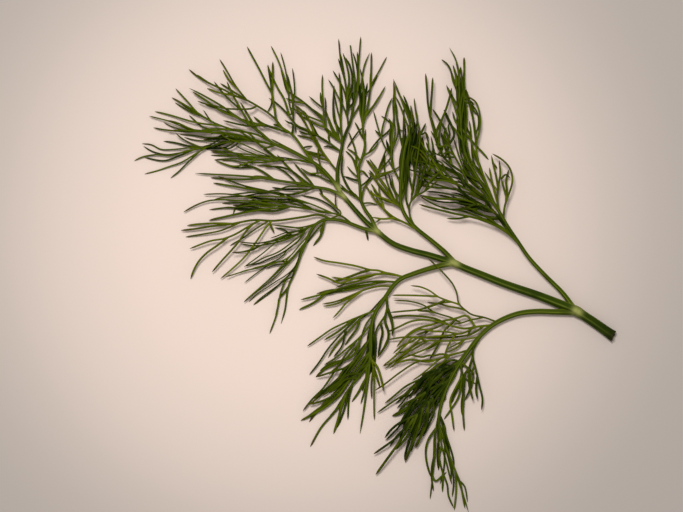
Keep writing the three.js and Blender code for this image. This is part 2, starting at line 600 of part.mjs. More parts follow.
// Visit the cells whose middles are within a radius of a place on the plan
function cellsAround(x, y, radius, visit) {
  const column = (value) => Math.round((value + REACH) / CELL);
  for (let i = column(x - radius); i <= column(x + radius); i += 1) {
    for (let j = column(y - radius); j <= column(y + radius); j += 1) {
      const away = Math.hypot(i * CELL - REACH - x, j * CELL - REACH - y);
      if (away < radius + CELL / 2) visit(j * mapSide + i);
    }
  }
}

function highestUnder(x, y, radius) {
  let top = 0;
  cellsAround(x, y, radius, (cell) => { top = Math.max(top, heightMap[cell]); });
  return top;
}

// A strand is not marked where it is still inside what carries it
function markLaid(strand, carriers) {
  strand.samples.forEach((point, index) => {
    const near = nearestOn(carriers, point.x, point.y);
    if (near.distance < near.radius) return;
    const radius = radiusAt(strand.radii, index / (strand.samples.length - 1));
    cellsAround(point.x, point.y, radius, (cell) => {
      heightMap[cell] = Math.max(heightMap[cell], point.z + radius);
    });
  });
}

// One strand of a node. Its height runs from the root's to the tip's with an arch between, never
// under the table, and it climbs over the nodes that were laid before it.
function layStrand(route, { radii, sides, step, arch, rootHeight, tipHeight, carriers }) {
  const flat = [];
  for (let i = 0; i < route.length; i += 2) flat.push(new THREE.Vector3(route[i], route[i + 1], 0));
  const plan = new THREE.CatmullRomCurve3(flat, false, 'centripetal');
  const length = plan.getLength();
  const count = Math.max(8, Math.round(length / SAMPLE));
  const points = plan.getSpacedPoints(count);
  const archHere = arch * Math.min(1, length / ARCH_LENGTH);
  const natural = points.map((point, i) => {
    const t = i / count;
    return Math.max(rootHeight + (tipHeight - rootHeight) * t + archHere * 4 * t * (1 - t),
      radiusAt(radii, t));
  });
  let free = false;
  const needed = points.map((point, i) => {
    const own = radiusAt(radii, i / count);
    if (!free) {
      const near = nearestOn(carriers, point.x, point.y);
      free = near.distance > near.radius + own + GAP + 2 * CELL;
      if (!free) return 0;
    }
    const top = highestUnder(point.x, point.y, own + GAP / 2);
    return top > 0 ? top + own + GAP : 0;
  });
  const spacing = length / count;
  const heights = natural.map((height, i) => {
    let highest = height;
    needed.forEach((need, k) => {
      if (need > natural[k]) {
        const away = Math.max(0, Math.abs(i - k) * spacing - THREAD);
        highest = Math.max(highest, need - SLOPE * away);
      }
    });
    return highest;
  });
  const rampEnd = RAMP / spacing;
  points.forEach((point, i) => {
    const share = Math.min(1, i / rampEnd);
    point.z = natural[i] + (heights[i] - natural[i]) * share;
  });
  const every = Math.max(1, Math.round(KNOT / spacing));
  const knots = points.filter((point, i) => i % every === 0 || i === count);
  const curve = new THREE.CatmullRomCurve3(knots, false, 'centripetal');
  return { curve, radii, sides, step, samples: curve.getSpacedPoints(count * 2) };
}

const laid = {};

// Lay every strand of a node, join them, and clear the node from what carries it
function growNode(name, plan, isStalk) {
  const carriers = plan.from ? laid[plan.from] : [];
  const strands = [];
  plan.routes.forEach((route, index) => {
    const rootOn = index === 0 ? carriers : strands;
    const root = rootOn.length ? nearestOn(rootOn, route[0], route[1]) : null;
    const start = root ? [root.point.x, root.point.y] : route.slice(0, 2);
    const rib = isStalk && index === 0;
    const radii = rib ? plan.wide.map((width) => width / 2) : [THREAD / 2, THREAD_TIP / 2];
    strands.push(layStrand([...start, ...route.slice(2)], {
      radii,
      sides: rib ? STALK_SIDES : THREAD_SIDES,
      step: rib ? STALK_STEP : THREAD_STEP,
      arch: plan.high[1],
      rootHeight: root ? root.point.z : plan.high[0],
      tipHeight: plan.high[2] + TIP_SPREAD * Math.sin(index * TIP_TURN),
      carriers: index === 0 ? carriers : [...carriers, ...strands],
    }));
  });
  laid[name] = strands;
  for (const strand of strands) markLaid(strand, carriers);
  let solid = tubeSolid(strands[0]);
  for (const strand of strands.slice(1)) solid = solid.add(tubeSolid(strand));
  for (const strand of carriers) solid = solid.subtract(tubeSolid(strand, GAP));
  return largestPiece(solid);
}

// ---- The sprig
const sprig = new THREE.Group();
const plans = [...Object.entries(stalks), ...Object.entries(sprays)];
for (const [name, plan] of plans) {
  const solid = growNode(name, plan, name in stalks);
  const material = new THREE.MeshStandardMaterial({ ...finishes[plan.finish], metalness: 0 });
  const mesh = new THREE.Mesh(toGeometry(solid), material);
  mesh.name = name;
  sprig.add(mesh);
}

// Set the whole leaf down with its box centred on the origin
const box = new THREE.Box3().setFromObject(sprig);
const middle = box.getCenter(new THREE.Vector3());
sprig.position.set(-middle.x, -middle.y, -box.min.z);

export default sprig;
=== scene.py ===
# %% [markdown]
# # A dill sprig
#
# This lesson dresses one cut leaf of dill that lies flat on a table. A dill leaf is a main stalk with
# side stalks in pairs. Each side stalk carries sprays of green threads, finer than a grass blade.
# The leaf is 135 mm long and every thread is about half a millimetre thick, so nearly everything
# here is a thin tube along a path, and the care goes into where the paths run, how they lie over
# each other, and how their colour changes from joint to tip.

import math
import random

import bmesh
import bpy
import numpy as np
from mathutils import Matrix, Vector


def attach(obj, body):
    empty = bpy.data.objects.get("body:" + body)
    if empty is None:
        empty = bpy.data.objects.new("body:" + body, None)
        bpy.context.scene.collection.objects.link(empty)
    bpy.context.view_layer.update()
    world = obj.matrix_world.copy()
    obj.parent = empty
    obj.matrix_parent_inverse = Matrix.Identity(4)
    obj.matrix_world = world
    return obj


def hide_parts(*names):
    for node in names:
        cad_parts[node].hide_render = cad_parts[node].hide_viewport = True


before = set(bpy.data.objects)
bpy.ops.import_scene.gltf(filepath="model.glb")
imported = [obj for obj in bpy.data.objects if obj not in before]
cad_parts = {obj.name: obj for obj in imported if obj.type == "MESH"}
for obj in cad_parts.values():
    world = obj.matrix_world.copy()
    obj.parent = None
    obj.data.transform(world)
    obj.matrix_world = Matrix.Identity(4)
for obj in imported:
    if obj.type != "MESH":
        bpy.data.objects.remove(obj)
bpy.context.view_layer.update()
MM = 0.001

# %% [markdown]
# ## The plan of the leaf
#
# Where the stalks and threads run is the one thing no rule gives, because no two leaves are alike.
# It could be grown by a random rule, but then the leaf would be any dill leaf and not this one. So
# the plan is a set of routes given one by one: x and y pairs over the table, in millimetres, from root
# to tip. Each entry has the name of the part of the imported model that it stands for. First comes
# what it grows on, then its heights in millimetres: of its root over the table (0 where it grows on
# something, because it then starts at that height), of its arch over a straight line, and of its
# tip. Next are its finish and its routes: the first route is the entry's own main strand, and the
# others branch off it. A stalk also has its width at root and tip.

# %% How an entry of the plan is written
def growing_on(carrier, heights, finish, *routes, wide=None):
    """One entry of the plan. Only the main stalk grows on nothing."""
    return {"from": carrier, "high": heights, "finish": finish, "routes": routes, "wide": wide}


print("an entry holds:", list(growing_on(None, (0, 0, 0), "leaf")))

# %% The stalks
STALKS = {
    "main_stalk": growing_on(None, (1.36, 0.9, 1.1), "stalk",
        [66.7, -16.9, 60, -12.2, 55.4, -9.4, 50, -7.2, 45, -5.3, 40, -3.6, 35, -1.8, 30, 0.2, 25, 2.2,
         21.8, 3.6, 15, 5.8, 10, 7.1, 5, 9, 0.8, 12.2, -2.7, 15.3, -7.5, 20.7, -10, 23.9, -10.5, 26.8,
         -10.4, 30, -9.8, 33, -9.3, 35.5, -9, 37.4, -7.9, 40.5, -6.9, 42.8, -6.3, 46, -5.9, 50, -5.6, 54,
         -6.1, 58, -6.9, 64.4],
        [-6.2, 46.5, -4.9, 51.5, -4.6, 54.8, -4.7, 58.6, -4.4, 61.9, -4, 66.8],
        wide=(2.7, 0.4)),
    "right_1_stalk": growing_on("main_stalk", (0, 1.2, 1.3), "side_stalk",
        [55.9, -9.2, 52.6, -5, 47.6, 0, 43, 5, 40.1, 9.2, 36.9, 14, 34.6, 18, 31.2, 23.5, 28, 28.5, 25.6,
         33, 24.4, 38, 23.9, 44, 23.6, 50, 23.3, 57.5, 22.3, 61, 20.8, 63.7],
        [24.5, 37.5, 22.2, 41, 21.2, 42, 20.2, 43.9, 19.2, 46.2],
        [23.9, 44, 22.7, 48, 21.2, 50.8, 20, 53.2],
        [23.8, 46.5, 22.7, 52.5, 21.4, 56.5, 20.3, 58.9, 18.7, 60.4],
        [22.6, 53, 22.6, 55.5, 21.8, 58.8],
        [24, 42.5, 24.9, 50, 24.9, 56, 25, 61],
        [24.8, 49.5, 24.3, 54, 24, 58.3],
        wide=(1.3, 0.4)),
    "left_1_stalk": growing_on("main_stalk", (0, 0.8, 0), "side_stalk",
        [56.4, -10, 50, -10.1, 45, -10, 40, -10.6, 35, -12.5, 31.5, -14.8, 28.3, -18, 25, -22.5, 21.8,
         -27.5, 19.4, -33, 18, -38, 17.8, -41, 18.8, -44.5, 20.2, -49, 22.2, -54, 24.2, -60, 26.2, -66.3],
        [22.4, -54.6, 22.7, -60, 22.2, -65.7],
        [23.3, -57, 25, -58.8, 25.5, -60.5, 25.9, -63.5],
        [18.1, -37.5, 17, -43, 16.7, -50, 16.2, -55, 15.8, -59, 15.4, -62.6],
        [17, -43, 15, -45.6, 14.2, -48.5, 14.4, -52, 15.6, -56.4],
        [18.2, -42.5, 18.6, -47.5, 19.6, -51, 20.5, -54.5, 21.5, -58.5],
        [18.6, -47.5, 17.9, -50.5, 18.9, -55, 20.2, -58.5, 20.5, -61.5, 22, -65],
        [18.9, -55, 18.9, -60.7],
        wide=(1.7, 0.4)),
    "right_2_stalk": growing_on("main_stalk", (0, 0.8, 1.2), "side_stalk",
        [22.2, 3.4, 19.5, 6.6, 16.5, 9.2, 14, 11.2, 12, 12.8, 9.3, 15.6, 7.8, 18.2, 7.1, 21, 7.2, 25, 7.6,
         30, 8.4, 36, 9.8, 42, 8, 47.5, 6.5, 51.5, 5.1, 55],
        [7.2, 22, 5.9, 23, 5, 25.5, 4.6, 28],
        [8.2, 35, 10.6, 42, 10.2, 44.5, 9, 47.5, 7.9, 50.4],
        [10.5, 43, 10, 47.6],
        wide=(1.35, 0.4)),
    "left_2_stalk": growing_on("main_stalk", (0, 0.8, 0.2), "side_stalk",
        [22, 3.4, 17, 2.5, 13.5, 1.5, 10, 0.3, 7.3, -0.8, 5.2, -2.6, 3.5, -5, 1.8, -7.6, 0.2, -10, -0.8,
         -13, -1.2, -17, -1.2, -21, -1.6, -25, -2.3, -31, -3.2, -38, -4.2, -44.3],
        wide=(1.5, 0.45)),
    "right_3_stalk": growing_on("main_stalk", (0, 0.8, 0.9), "side_stalk",
        [0.6, 12.6, -1.1, 16.1, -2.5, 18, -3.8, 20.7, -4.3, 25.8, -4.6, 28.3, -4.4, 30.9, -3.7, 32.6, -2.8,
         36.5, -3.3, 40, -3.5, 45, -3.1, 50, -3.7, 54, -2.9, 58.9, -1.5, 62.3],
        [-4.6, 27, -5.2, 30, -5.3, 34, -6.2, 37.2, -7.4, 39.9],
        [-5.2, 29.5, -6.5, 33.2, -8.3, 34.9],
        [-3.3, 33.5, -1, 34.8, 0.3, 36.2, 1, 37.5],
        [-3.9, 21, -6.5, 23.2, -8.2, 26, -9.3, 28.5, -9.3, 31, -8.9, 34],
        [-3.5, 42, -2.6, 45, -1.5, 51, -1.1, 57.3, -1, 62.4],
        [-2.6, 44.8, 0, 48, 2.9, 52.9],
        [-1.5, 51, -0.9, 53.5, 1.2, 57.3, 3.3, 61.2],
        wide=(1, 0.4)),
    "left_3_stalk": growing_on("main_stalk", (0, 0.8, 0), "side_stalk",
        [0.6, 12, -2.7, 13, -5.2, 13.9, -9, 15.3, -13.6, 15.7, -16.5, 14.4, -18.3, 12, -19.5, 8.8, -20.8,
         5.8, -21.8, 2.7, -23.1, -0.4, -24.3, -3.2, -25.2, -9.6, -26.3, -13.5],
        [-14, 15.6, -15.2, 11, -17.3, 8.3],
        [-21, 5.2, -23, 1.4, -25.9, -1.6, -28.9, -4.4, -34, -8.3],
        [-24.9, -0.6, -26.3, -4.5, -27.2, -8.8, -27.7, -11.3, -29.5, -16.3],
        wide=(1.05, 0.45)),
    "far_stalk": growing_on("main_stalk", (0, 1.2, 2.4), "side_stalk",
        [-10.2, 24.6, -12.2, 27, -15, 30, -17.5, 31.8, -20, 33, -22.5, 34.3, -25.6, 35.7, -28.5, 37, -32.2,
         40.1, -35.8, 42.6, -38.4, 44.1, -42.3, 47, -48.3, 50.5, -51.9, 52.3],
        [-34.9, 42, -37.5, 46.5, -39.8, 50.6, -41.4, 54.2],
        [-37.2, 46, -40.4, 48.8, -43, 51.6, -45, 54.2],
        wide=(1.05, 0.45)),
    "low_stalk": growing_on("main_stalk", (0, 0.6, 1.2), "side_stalk",
        [-8.9, 22.6, -13.1, 24.1, -16.5, 24.7, -20.8, 25.6, -26, 26.4, -32, 27.3, -38, 27.9, -45, 28.3,
         -50.3, 28.6],
        [-16.5, 24.6, -19.5, 23.6, -22.3, 22.8, -26.9, 22.8, -31, 23.8, -37, 25.2, -43.9, 27.8],
        [-28, 23, -37.5, 24.6, -45.3, 25.9],
        [-17.6, 24.9, -21, 27.5, -23.5, 29.3, -26.9, 30.4, -31, 30.4],
        wide=(0.9, 0.4)),
}
print("stalks:", len(STALKS))

# %% Sprays of the first fork: a tall column with loops beside it, and a net, a dense fan and a tail
SPRAYS = {
    "right_1_arch_spray": growing_on("right_1_stalk", (0, 0.8, 2.6), "leaf",
        [32.4, 21.5, 30.8, 26.5, 29, 31, 28.2, 36, 29, 40, 29.4, 43, 29, 46, 28, 48.6, 25.4, 50.1],
        [28.2, 36, 27.9, 40, 27.3, 44, 26.3, 47.3],
        [28.6, 32.5, 27.2, 36, 26, 40.5]),
    "right_1_loop_spray": growing_on("right_1_stalk", (0, 1.5, 3.5), "young_leaf",
        [35.6, 16.3, 36.2, 19.5, 37, 22, 37.9, 24.5, 38.3, 27, 37.5, 30, 35.6, 32.2, 32.7, 34],
        [36.9, 21.8, 36, 24, 35.2, 27]),
    "right_1_inner_spray": growing_on("right_1_stalk", (0, 0.8, 2.4), "young_leaf",
        [34.8, 17.7, 34.1, 21.5, 34.4, 25, 34.9, 28.5, 34.6, 32.2],
        [34.4, 24.5, 33.8, 27.5, 33.1, 30.5, 32.4, 33.5],
        [34.3, 23.5, 32.5, 26, 30.5, 29.1]),
    "right_1_tall_spray": growing_on("right_1_stalk", (0, 2.2, 3.2), "leaf",
        [29.5, 26.1, 24, 29, 19.5, 32.5, 17.6, 36, 16.9, 38.5, 15.8, 42.5, 15.3, 44.5, 14.7, 48, 14.4,
         52.5, 14.1, 56.4],
        [15.3, 44.5, 15.5, 47, 15.8, 51, 16.1, 55.3],
        [17.6, 36.2, 18.3, 42.5, 19.7, 46.2, 20.8, 49.8, 21.4, 52.4],
        [19.5, 32.5, 20.5, 36.5, 20.2, 39, 18, 43.3, 16, 46.5]),
    "right_1_fan_spray": growing_on("right_1_stalk", (0, 2.4, 3.8), "leaf",
        [33.4, 20, 28, 22.8, 22, 26, 16, 30, 12, 34.5],
        [26, 24, 20, 26.3, 15, 26.8, 11, 28.3],
        [22, 26, 18, 30, 14, 31.5, 10.5, 32],
        [19, 28.2, 16, 32, 13.5, 36, 12.5, 38],
        [29, 22.3, 23, 23.8, 17, 24.6, 12.5, 25]),
    "right_1_low_spray": growing_on("right_1_stalk", (0, 2, 3.6), "leaf",
        [35.8, 15.9, 29, 19.8, 24.8, 18.8, 20.5, 18.5, 17, 19.6, 14.5, 20.9, 12.4, 22.2],
        [29, 19.8, 24, 21.3, 19, 21.3, 15.5, 21.5, 12.6, 22.3]),
    "right_1_under_spray": growing_on("right_1_stalk", (0, 1.6, 2.6), "leaf",
        [40.6, 8.5, 37, 11.8, 33.5, 14, 29.5, 15.6, 26.5, 16.4, 22, 17.3, 18, 18.3, 14.5, 19.2, 12.3,
         19.9],
        [36, 12.5, 32, 15.8, 28, 18, 24.8, 19.4]),
    "left_1_long_spray": growing_on("left_1_stalk", (0, 1.8, 3), "young_leaf",
        [34.4, -12.9, 30.5, -11.7, 27, -10.9, 25, -9.5, 23.3, -7.8, 22.8, -5, 21.6, -2.3, 19.5, 0.2, 17.5,
         2.3, 14.8, 4.8],
        [23.3, -7.8, 20, -6.9, 17.5, -5.9, 15.5, -4.4, 12.8, -3.2, 9.9, -2.8],
        [17.6, -6, 13, -5.6, 9, -5.5, 4.7, -5.5],
        [19.8, -6.9, 16, -8.4, 12, -9.5, 8, -9.9, 4.2, -10.3]),
    "left_1_net_spray": growing_on("left_1_stalk", (0, 1.4, 2.4), "young_leaf",
        [33, -13.8, 29, -14.2, 25, -14.8, 22, -14.2, 18.5, -13.1, 14, -12.3, 10, -12.8, 6.5, -14.4, 3.4,
         -15.8],
        [28, -14.4, 24, -16.2, 20, -15.7, 16, -15.5, 12.5, -15, 10, -16.2, 8, -17.7, 6, -20],
        [24, -16.2, 21, -16.6, 17, -17, 12, -17.3, 8, -17.2, 3.8, -17.9]),
    "left_1_cross_spray": growing_on("left_1_stalk", (0, 1, 1.6), "young_leaf",
        [29.4, -16.9, 26, -17.7, 22, -18.2, 17.5, -18.3, 14, -18.2, 11, -19.6, 8, -22, 4.5, -24.4, 2,
         -25.4],
        [17.5, -18.3, 14.5, -20.3, 10, -22.2, 7, -23.5, 4, -26]),
    "left_1_lone_spray": growing_on("left_1_stalk", (0, 1, 2.6), "young_leaf",
        [26.2, -20.9, 20, -22.6, 17, -23.5, 12.2, -23.9, 7, -27, 2.3, -30.6, -0.1, -32.1]),
    "left_1_dense_spray": growing_on("left_1_stalk", (0, 1.2, 1), "leaf",
        [24, -24, 18, -27, 12.5, -29, 8.5, -31, 5.5, -33.5, 2.7, -35.8],
        [14, -28.5, 10, -32, 5, -35.2, 0.6, -38.4],
        [18, -27, 14, -31.5, 10, -36, 4.7, -39.3]),
    "left_1_bottom_spray": growing_on("left_1_stalk", (0, 1.8, 1.8), "leaf",
        [21, -29, 16, -34, 12, -38.5, 8, -43, 5, -46, 2, -48.2, -0.4, -49.9],
        [12, -38.5, 7, -41, 4.5, -43, 2.7, -45.4],
        [10.5, -40.2, 7, -46, 3.5, -51, 0.2, -55.7],
        [12, -38.5, 9.5, -44, 5.8, -48.7],
        [13.5, -36.8, 12, -43, 10, -48, 8.2, -51.7],
        [15, -35, 14.5, -41, 12.8, -45, 11.4, -48.2]),
    "left_1_side_spray": growing_on("left_1_stalk", (0, 1, 2.4), "leaf",
        [28.2, -18.1, 27.2, -22, 28.2, -26.5, 29.2, -31, 30, -34.5, 29.7, -37.6],
        [27.4, -23, 26.3, -26, 26.2, -30, 26.7, -32.5, 27.4, -34.9]),
    "left_1_low_side_spray": growing_on("left_1_stalk", (0, 0.8, 0.6), "leaf",
        [23.8, -24.5, 24.3, -28, 24.8, -33, 24.6, -38, 25, -43.4],
        [24.4, -28.5, 22.5, -31.5, 21, -35, 21.5, -39, 22.1, -43.5]),
}
print("sprays so far:", len(SPRAYS))

# %% Sprays of the second fork: a brush that points up the plan, and flat sprays with a drooping brush
SPRAYS.update({
    "right_2_bend_spray": growing_on("right_2_stalk", (0, 1, 2), "leaf",
        [11.2, 13.5, 9.9, 16, 9.5, 18.5, 9.9, 20.5, 11.5, 22.2, 14, 23.6, 17.5, 26.5],
        [10, 20.7, 10.5, 25, 11.5, 31, 12.5, 39.5, 11.5, 44.5, 10.9, 49.6],
        [12.4, 39, 13.2, 40.5, 14.2, 42.6],
        [11.8, 22.4, 13, 27, 14.5, 32, 14.8, 37, 13.9, 40]),
    "right_2_left_spray": growing_on("right_2_stalk", (0, 0.8, 1.6), "leaf",
        [7.3, 26, 4.8, 31, 4.6, 36, 5, 42, 5.5, 47, 5.4, 53.5],
        [4.7, 33, 3, 35.5, 1.9, 37.8, 0.9, 41, -0.5, 46.1],
        [1.8, 38, 2, 41, 2.8, 44, 3.6, 47, 4.8, 49.7]),
    "right_2_low_spray": growing_on("right_2_stalk", (0, 1, 1.6), "young_leaf",
        [12.4, 12.4, 9, 14.4, 5, 16.4, 2.3, 18.7, 0.5, 20.5, -0.8, 22.3, -2, 24.2, -2.8, 25.5],
        [5.5, 16.1, 2, 15.8, -0.8, 16.3],
        [2.4, 18.7, 1.8, 21, 1.2, 23.3, 1, 25]),
    "right_2_web_spray": growing_on("right_2_stalk", (0, 0.8, 1.6), "young_leaf",
        [7.6, 18.6, 6, 20, 3, 23.3, 1, 25.6, -0.4, 27.4, -1.9, 28.9],
        [-0.3, 27.3, 0.7, 29.1, -1.5, 32.4],
        [-0.2, 27.2, 2, 27.9, 4, 28.8, 6, 29.6]),
    "left_2_upper_spray": growing_on("left_2_stalk", (0, 0.8, 1.6), "young_leaf",
        [7.8, -0.5, 5, 0.4, 2.8, 0.8, 1, 1.4, -1.5, 1.6, -5, 2.6, -10, 3.5, -14.5, 4.2, -17.2, 5.2],
        [3, 0.8, 0, 0.3, -3.5, -0.3, -7, -1.2, -9.8, -2.2, -11.5, -1.5, -13.5, -0.6, -16.4, 0.4]),
    "left_2_mid_spray": growing_on("left_2_stalk", (0, 0.6, 1.2), "leaf",
        [6.2, -1.7, 0, -1.6, -6, -2.6, -12, -4.2, -16.3, -5],
        [-11, -3.9, -15.5, -5.4, -20.8, -6.8],
        [-13.5, -4.5, -17, -7.5, -21.3, -9.6]),
    "left_2_side_spray": growing_on("left_2_stalk", (0, 0.8, 1.4), "young_leaf",
        [5, -2.9, 1, -3, -3, -4, -7, -5.7, -11, -7.3, -14.8, -8],
        [-3.8, -4.4, -8, -7.6, -10, -10, -11.8, -11.9]),
    "left_2_brush_spray_1": growing_on("left_2_stalk", (0, 0.8, 1.2), "leaf",
        [0.6, -9.4, -4, -11.3, -8, -13, -12, -14.9, -15.5, -17.3, -19, -19.8],
        [-6, -12.2, -10, -15.4, -14.3, -18.1],
        [-5, -11.8, -9, -15.8, -13, -20.3, -15.8, -24.5, -18.4, -27.8]),
    "left_2_brush_spray_2": growing_on("left_2_stalk", (0, 0.8, 0.8), "leaf",
        [-0.9, -13.5, -4.5, -17.5, -8, -20.5, -11, -23, -14.2, -25],
        [-5, -18, -8.5, -22.5, -11.5, -27, -14.5, -31.5, -17.5, -34.5, -20.2, -37.9]),
    "left_2_brush_spray_3": growing_on("left_2_stalk", (0, 0.8, 1), "leaf",
        [-1.2, -17.6, -4, -21.5, -8, -25.5, -12, -26.9, -16.5, -28.4],
        [-6, -23.5, -9.5, -29, -12.5, -32, -15, -33.8]),
    "left_2_brush_spray_4": growing_on("left_2_stalk", (0, 0.6, 0.2), "leaf",
        [-1.3, -21.5, -4, -26, -8, -29.9, -12, -33.7, -15.5, -35.3, -18.5, -36],
        [-7, -28.9, -10, -33.2, -13.5, -36.4, -17, -38.6, -20.8, -40.6]),
    "left_2_brush_spray_5": growing_on("left_2_stalk", (0, 0.4, 0), "leaf",
        [-1.5, -24.6, -5, -29, -7.5, -32, -9, -35, -12, -38.9, -15, -42.4, -18.1, -47.9],
        [-8.3, -33.5, -9.5, -37, -10.4, -40.5, -11.6, -44.3],
        [-6.6, -31, -7.3, -34.5, -7.6, -40.4]),
    "left_2_inner_spray": growing_on("left_2_stalk", (0, 0.4, 0.5), "young_leaf",
        [-1.3, -22, -0.3, -27, -0.3, -32, -0.3, -36, -0.2, -40.4],
        [-0.9, -24, 0.6, -25.5, 1.6, -28.5, 2.5, -32.4]),
    "left_2_edge_spray": growing_on("left_2_stalk", (0, 0.8, 1.6), "leaf",
        [2.9, -5.9, 3.4, -9, 2.7, -12.5, 3.7, -15.5, 3.5, -18.3, 1.8, -21.3, 0.6, -23],
        [3.4, -9, 4.7, -12.5, 4.9, -16.9]),
})
print("sprays so far:", len(SPRAYS))

# %% Sprays of the third fork and the far end: a dense band, upright threads and feathers
SPRAYS.update({
    "left_3_band_spray": growing_on("left_3_stalk", (0, 0.8, 1.2), "leaf",
        [-6.3, 14.4, -9.5, 16.7, -14.1, 17.8, -19.2, 18.7, -26.9, 19.6, -32, 20.4, -38, 21, -46, 21, -50,
         19.7, -53.6, 17.7],
        [-32, 20.4, -36, 22, -42, 22.8, -48, 22.7],
        [-24, 19.3, -33, 18.2, -39.7, 16.9, -46.5, 15.4]),
    "left_3_thread_spray": growing_on("left_3_stalk", (0, 0.8, 1.4), "young_leaf",
        [-12.6, 15.6, -15.7, 17, -19.8, 16.4, -28.2, 15.3, -34, 15.5, -40.2, 14.4, -44.8, 13.9, -50.6, 13,
         -54.3, 12.6],
        [-32.5, 15.4, -35, 13.9, -39.1, 11.5, -42.2, 10.3, -45.8, 9.7, -51.8, 7.5],
        [-41.5, 10.5, -44.2, 8.3, -46.8, 6.5, -49.1, 4.2, -50.6, 1.7, -51.6, -0.9],
        [-34.5, 14.2, -35.6, 12.9, -38.6, 8.8, -43.2, 3.7, -45.6, 0.9],
        [-29, 15.3, -30.5, 13.4, -33.3, 9.3, -36.6, 5, -40.7, 1.2, -43.2, -0.9]),
    "left_3_fan_spray": growing_on("left_3_stalk", (0, 1.2, 1.8), "leaf",
        [-16.2, 14.6, -19.8, 13, -24.3, 11.6, -28.2, 10, -32, 8.3, -37.1, 6.6, -40, 6.5],
        [-20, 13, -24, 13.6, -28.6, 14.1],
        [-26, 11, -31, 6.5, -36.6, 2.4]),
    "left_3_low_spray": growing_on("left_3_stalk", (0, 0.8, 1), "leaf",
        [-18.5, 11.6, -21.5, 8, -24.3, 5, -28.2, 3.4, -35.3, 1.6, -41.7, -0.4],
        [-24, 5.2, -28.9, -0.4, -34, -5, -36.7, -7.4]),
    "top_left_spray": growing_on("main_stalk", (0, 0.6, 1.6), "leaf",
        [-9.1, 36.6, -9.6, 42, -9.6, 47, -9.8, 54.3, -10.1, 56.8],
        [-9.6, 40, -11.3, 43, -11.7, 47, -11.4, 53.1]),
    "top_mid_spray": growing_on("main_stalk", (0, 0.6, 1.8), "leaf",
        [-7.5, 41.5, -7.9, 47, -8, 51.7, -8.7, 56, -9.6, 60, -10.2, 66.2],
        [-7.9, 49, -7.3, 55, -8, 59.1, -9, 62.2]),
    "mid_left_spray": growing_on("main_stalk", (0, 1, 1.6), "leaf",
        [-9.1, 36.8, -12, 39.7, -14, 41.6, -14.4, 43.2, -14.4, 46, -14.6, 49, -14.8, 53, -14.7, 56.2],
        [-14.3, 42.4, -17, 43.8, -20, 45, -22, 46.2, -24, 47],
        [-14.4, 43.4, -17.5, 46.3, -20.5, 48.8, -22.5, 50.2, -24.4, 51.6],
        [-14.5, 46.5, -16.5, 48.3, -18.5, 50.1]),
    "branch_spray": growing_on("main_stalk", (0, 1, 2.2), "young_leaf",
        [-10.4, 29, -12.5, 31.5, -14.5, 34, -16.3, 36.4, -17.6, 38.6, -18.6, 40.8, -19.8, 43.3, -22.5,
         47.8]),
    "inner_feather_spray": growing_on("main_stalk", (0, 0.8, 1.6), "leaf",
        [-9.5, 34.6, -13, 37.2, -16, 39, -19, 40.7, -21.5, 41.7, -23, 43.2, -25.5, 46.3, -28, 48.5, -29.7,
         49.6],
        [-23, 43.3, -22.8, 48, -22.5, 51, -22.6, 54, -23.1, 58],
        [-22.9, 45, -24, 48, -24.1, 51, -24.5, 54.5, -25.3, 58.5, -26.4, 62.4],
        [-24.2, 51.5, -25.6, 56, -27.2, 60.4, -29.1, 64.2]),
    "middle_feather_spray": growing_on("far_stalk", (0, 1, 1.4), "leaf",
        [-17.4, 31.5, -20, 35.3, -22.3, 38.5, -24, 40, -26.3, 41.5, -27.6, 43.5, -28, 46, -28.5, 49, -28.8,
         51.5, -28.6, 55, -28.6, 59.8],
        [-28.8, 51.2, -30.5, 54, -32, 57, -35.8, 64],
        [-23.8, 39.9, -26, 40.4, -28, 41.3, -31, 41.8, -36, 41.8, -42.4, 43.3]),
    "outer_feather_spray": growing_on("middle_feather_spray", (0, 0.8, 0.5), "young_leaf",
        [-26, 41.2, -28, 43.8, -30, 45.5, -32, 46.8, -36.1, 49.1, -39.6, 50.3, -41.7, 51.6, -45.5, 53.3,
         -49.8, 55.8, -52.1, 57.7],
        [-36.1, 49.1, -38.9, 52.9, -41.9, 58, -43.5, 60.5]),
    "far_upper_spray": growing_on("far_stalk", (0, 0.6, 0.8), "leaf",
        [-28.2, 36.8, -33, 39.3, -39.9, 40.8, -45.5, 42.9, -50.1, 45.8, -54.7, 48.6, -56.9, 49.8],
        [-45, 42.7, -49.6, 45.5, -52.1, 48.3, -55.8, 52.3],
        [-43, 42, -49.8, 42.7, -57.8, 45, -61.6, 45.9],
        [-39.9, 40.8, -50.6, 40.7, -57.8, 43.2, -63.2, 44.6],
        [-44, 40.6, -52.1, 40.2, -59.8, 40.9, -62, 41.4]),
    "far_band_spray": growing_on("far_stalk", (0, 0.4, 0.1), "leaf",
        [-26.6, 36.2, -34.3, 37.6, -41.9, 37.1, -47, 35.9, -52, 35.7, -56, 35.3, -60, 35.3, -62.5, 36.6,
         -65.2, 36.9],
        [-48, 35.8, -53, 34.7, -57, 33.6, -61, 33.8, -65, 33.2, -67.4, 32.1],
        [-47, 35.9, -51, 33.5, -54, 31.7, -57.5, 30.5, -61, 29.3, -64.5, 28.4],
        [-49.2, 34.8, -53, 31, -55, 29, -57.2, 27.3],
        [-49, 35.8, -53.7, 38.1, -55.7, 39.8]),
    "near_band_spray": growing_on("far_stalk", (0, 0.4, 0.8), "leaf",
        [-17, 31.2, -21, 32.2, -25, 32.3, -29.4, 32, -34.3, 32.6, -39.4, 33.5, -43.2, 34.3, -46, 34.6],
        [-33, 32.4, -39, 30.5, -44.8, 32.2]),
})
print("sprays in all:", len(SPRAYS))
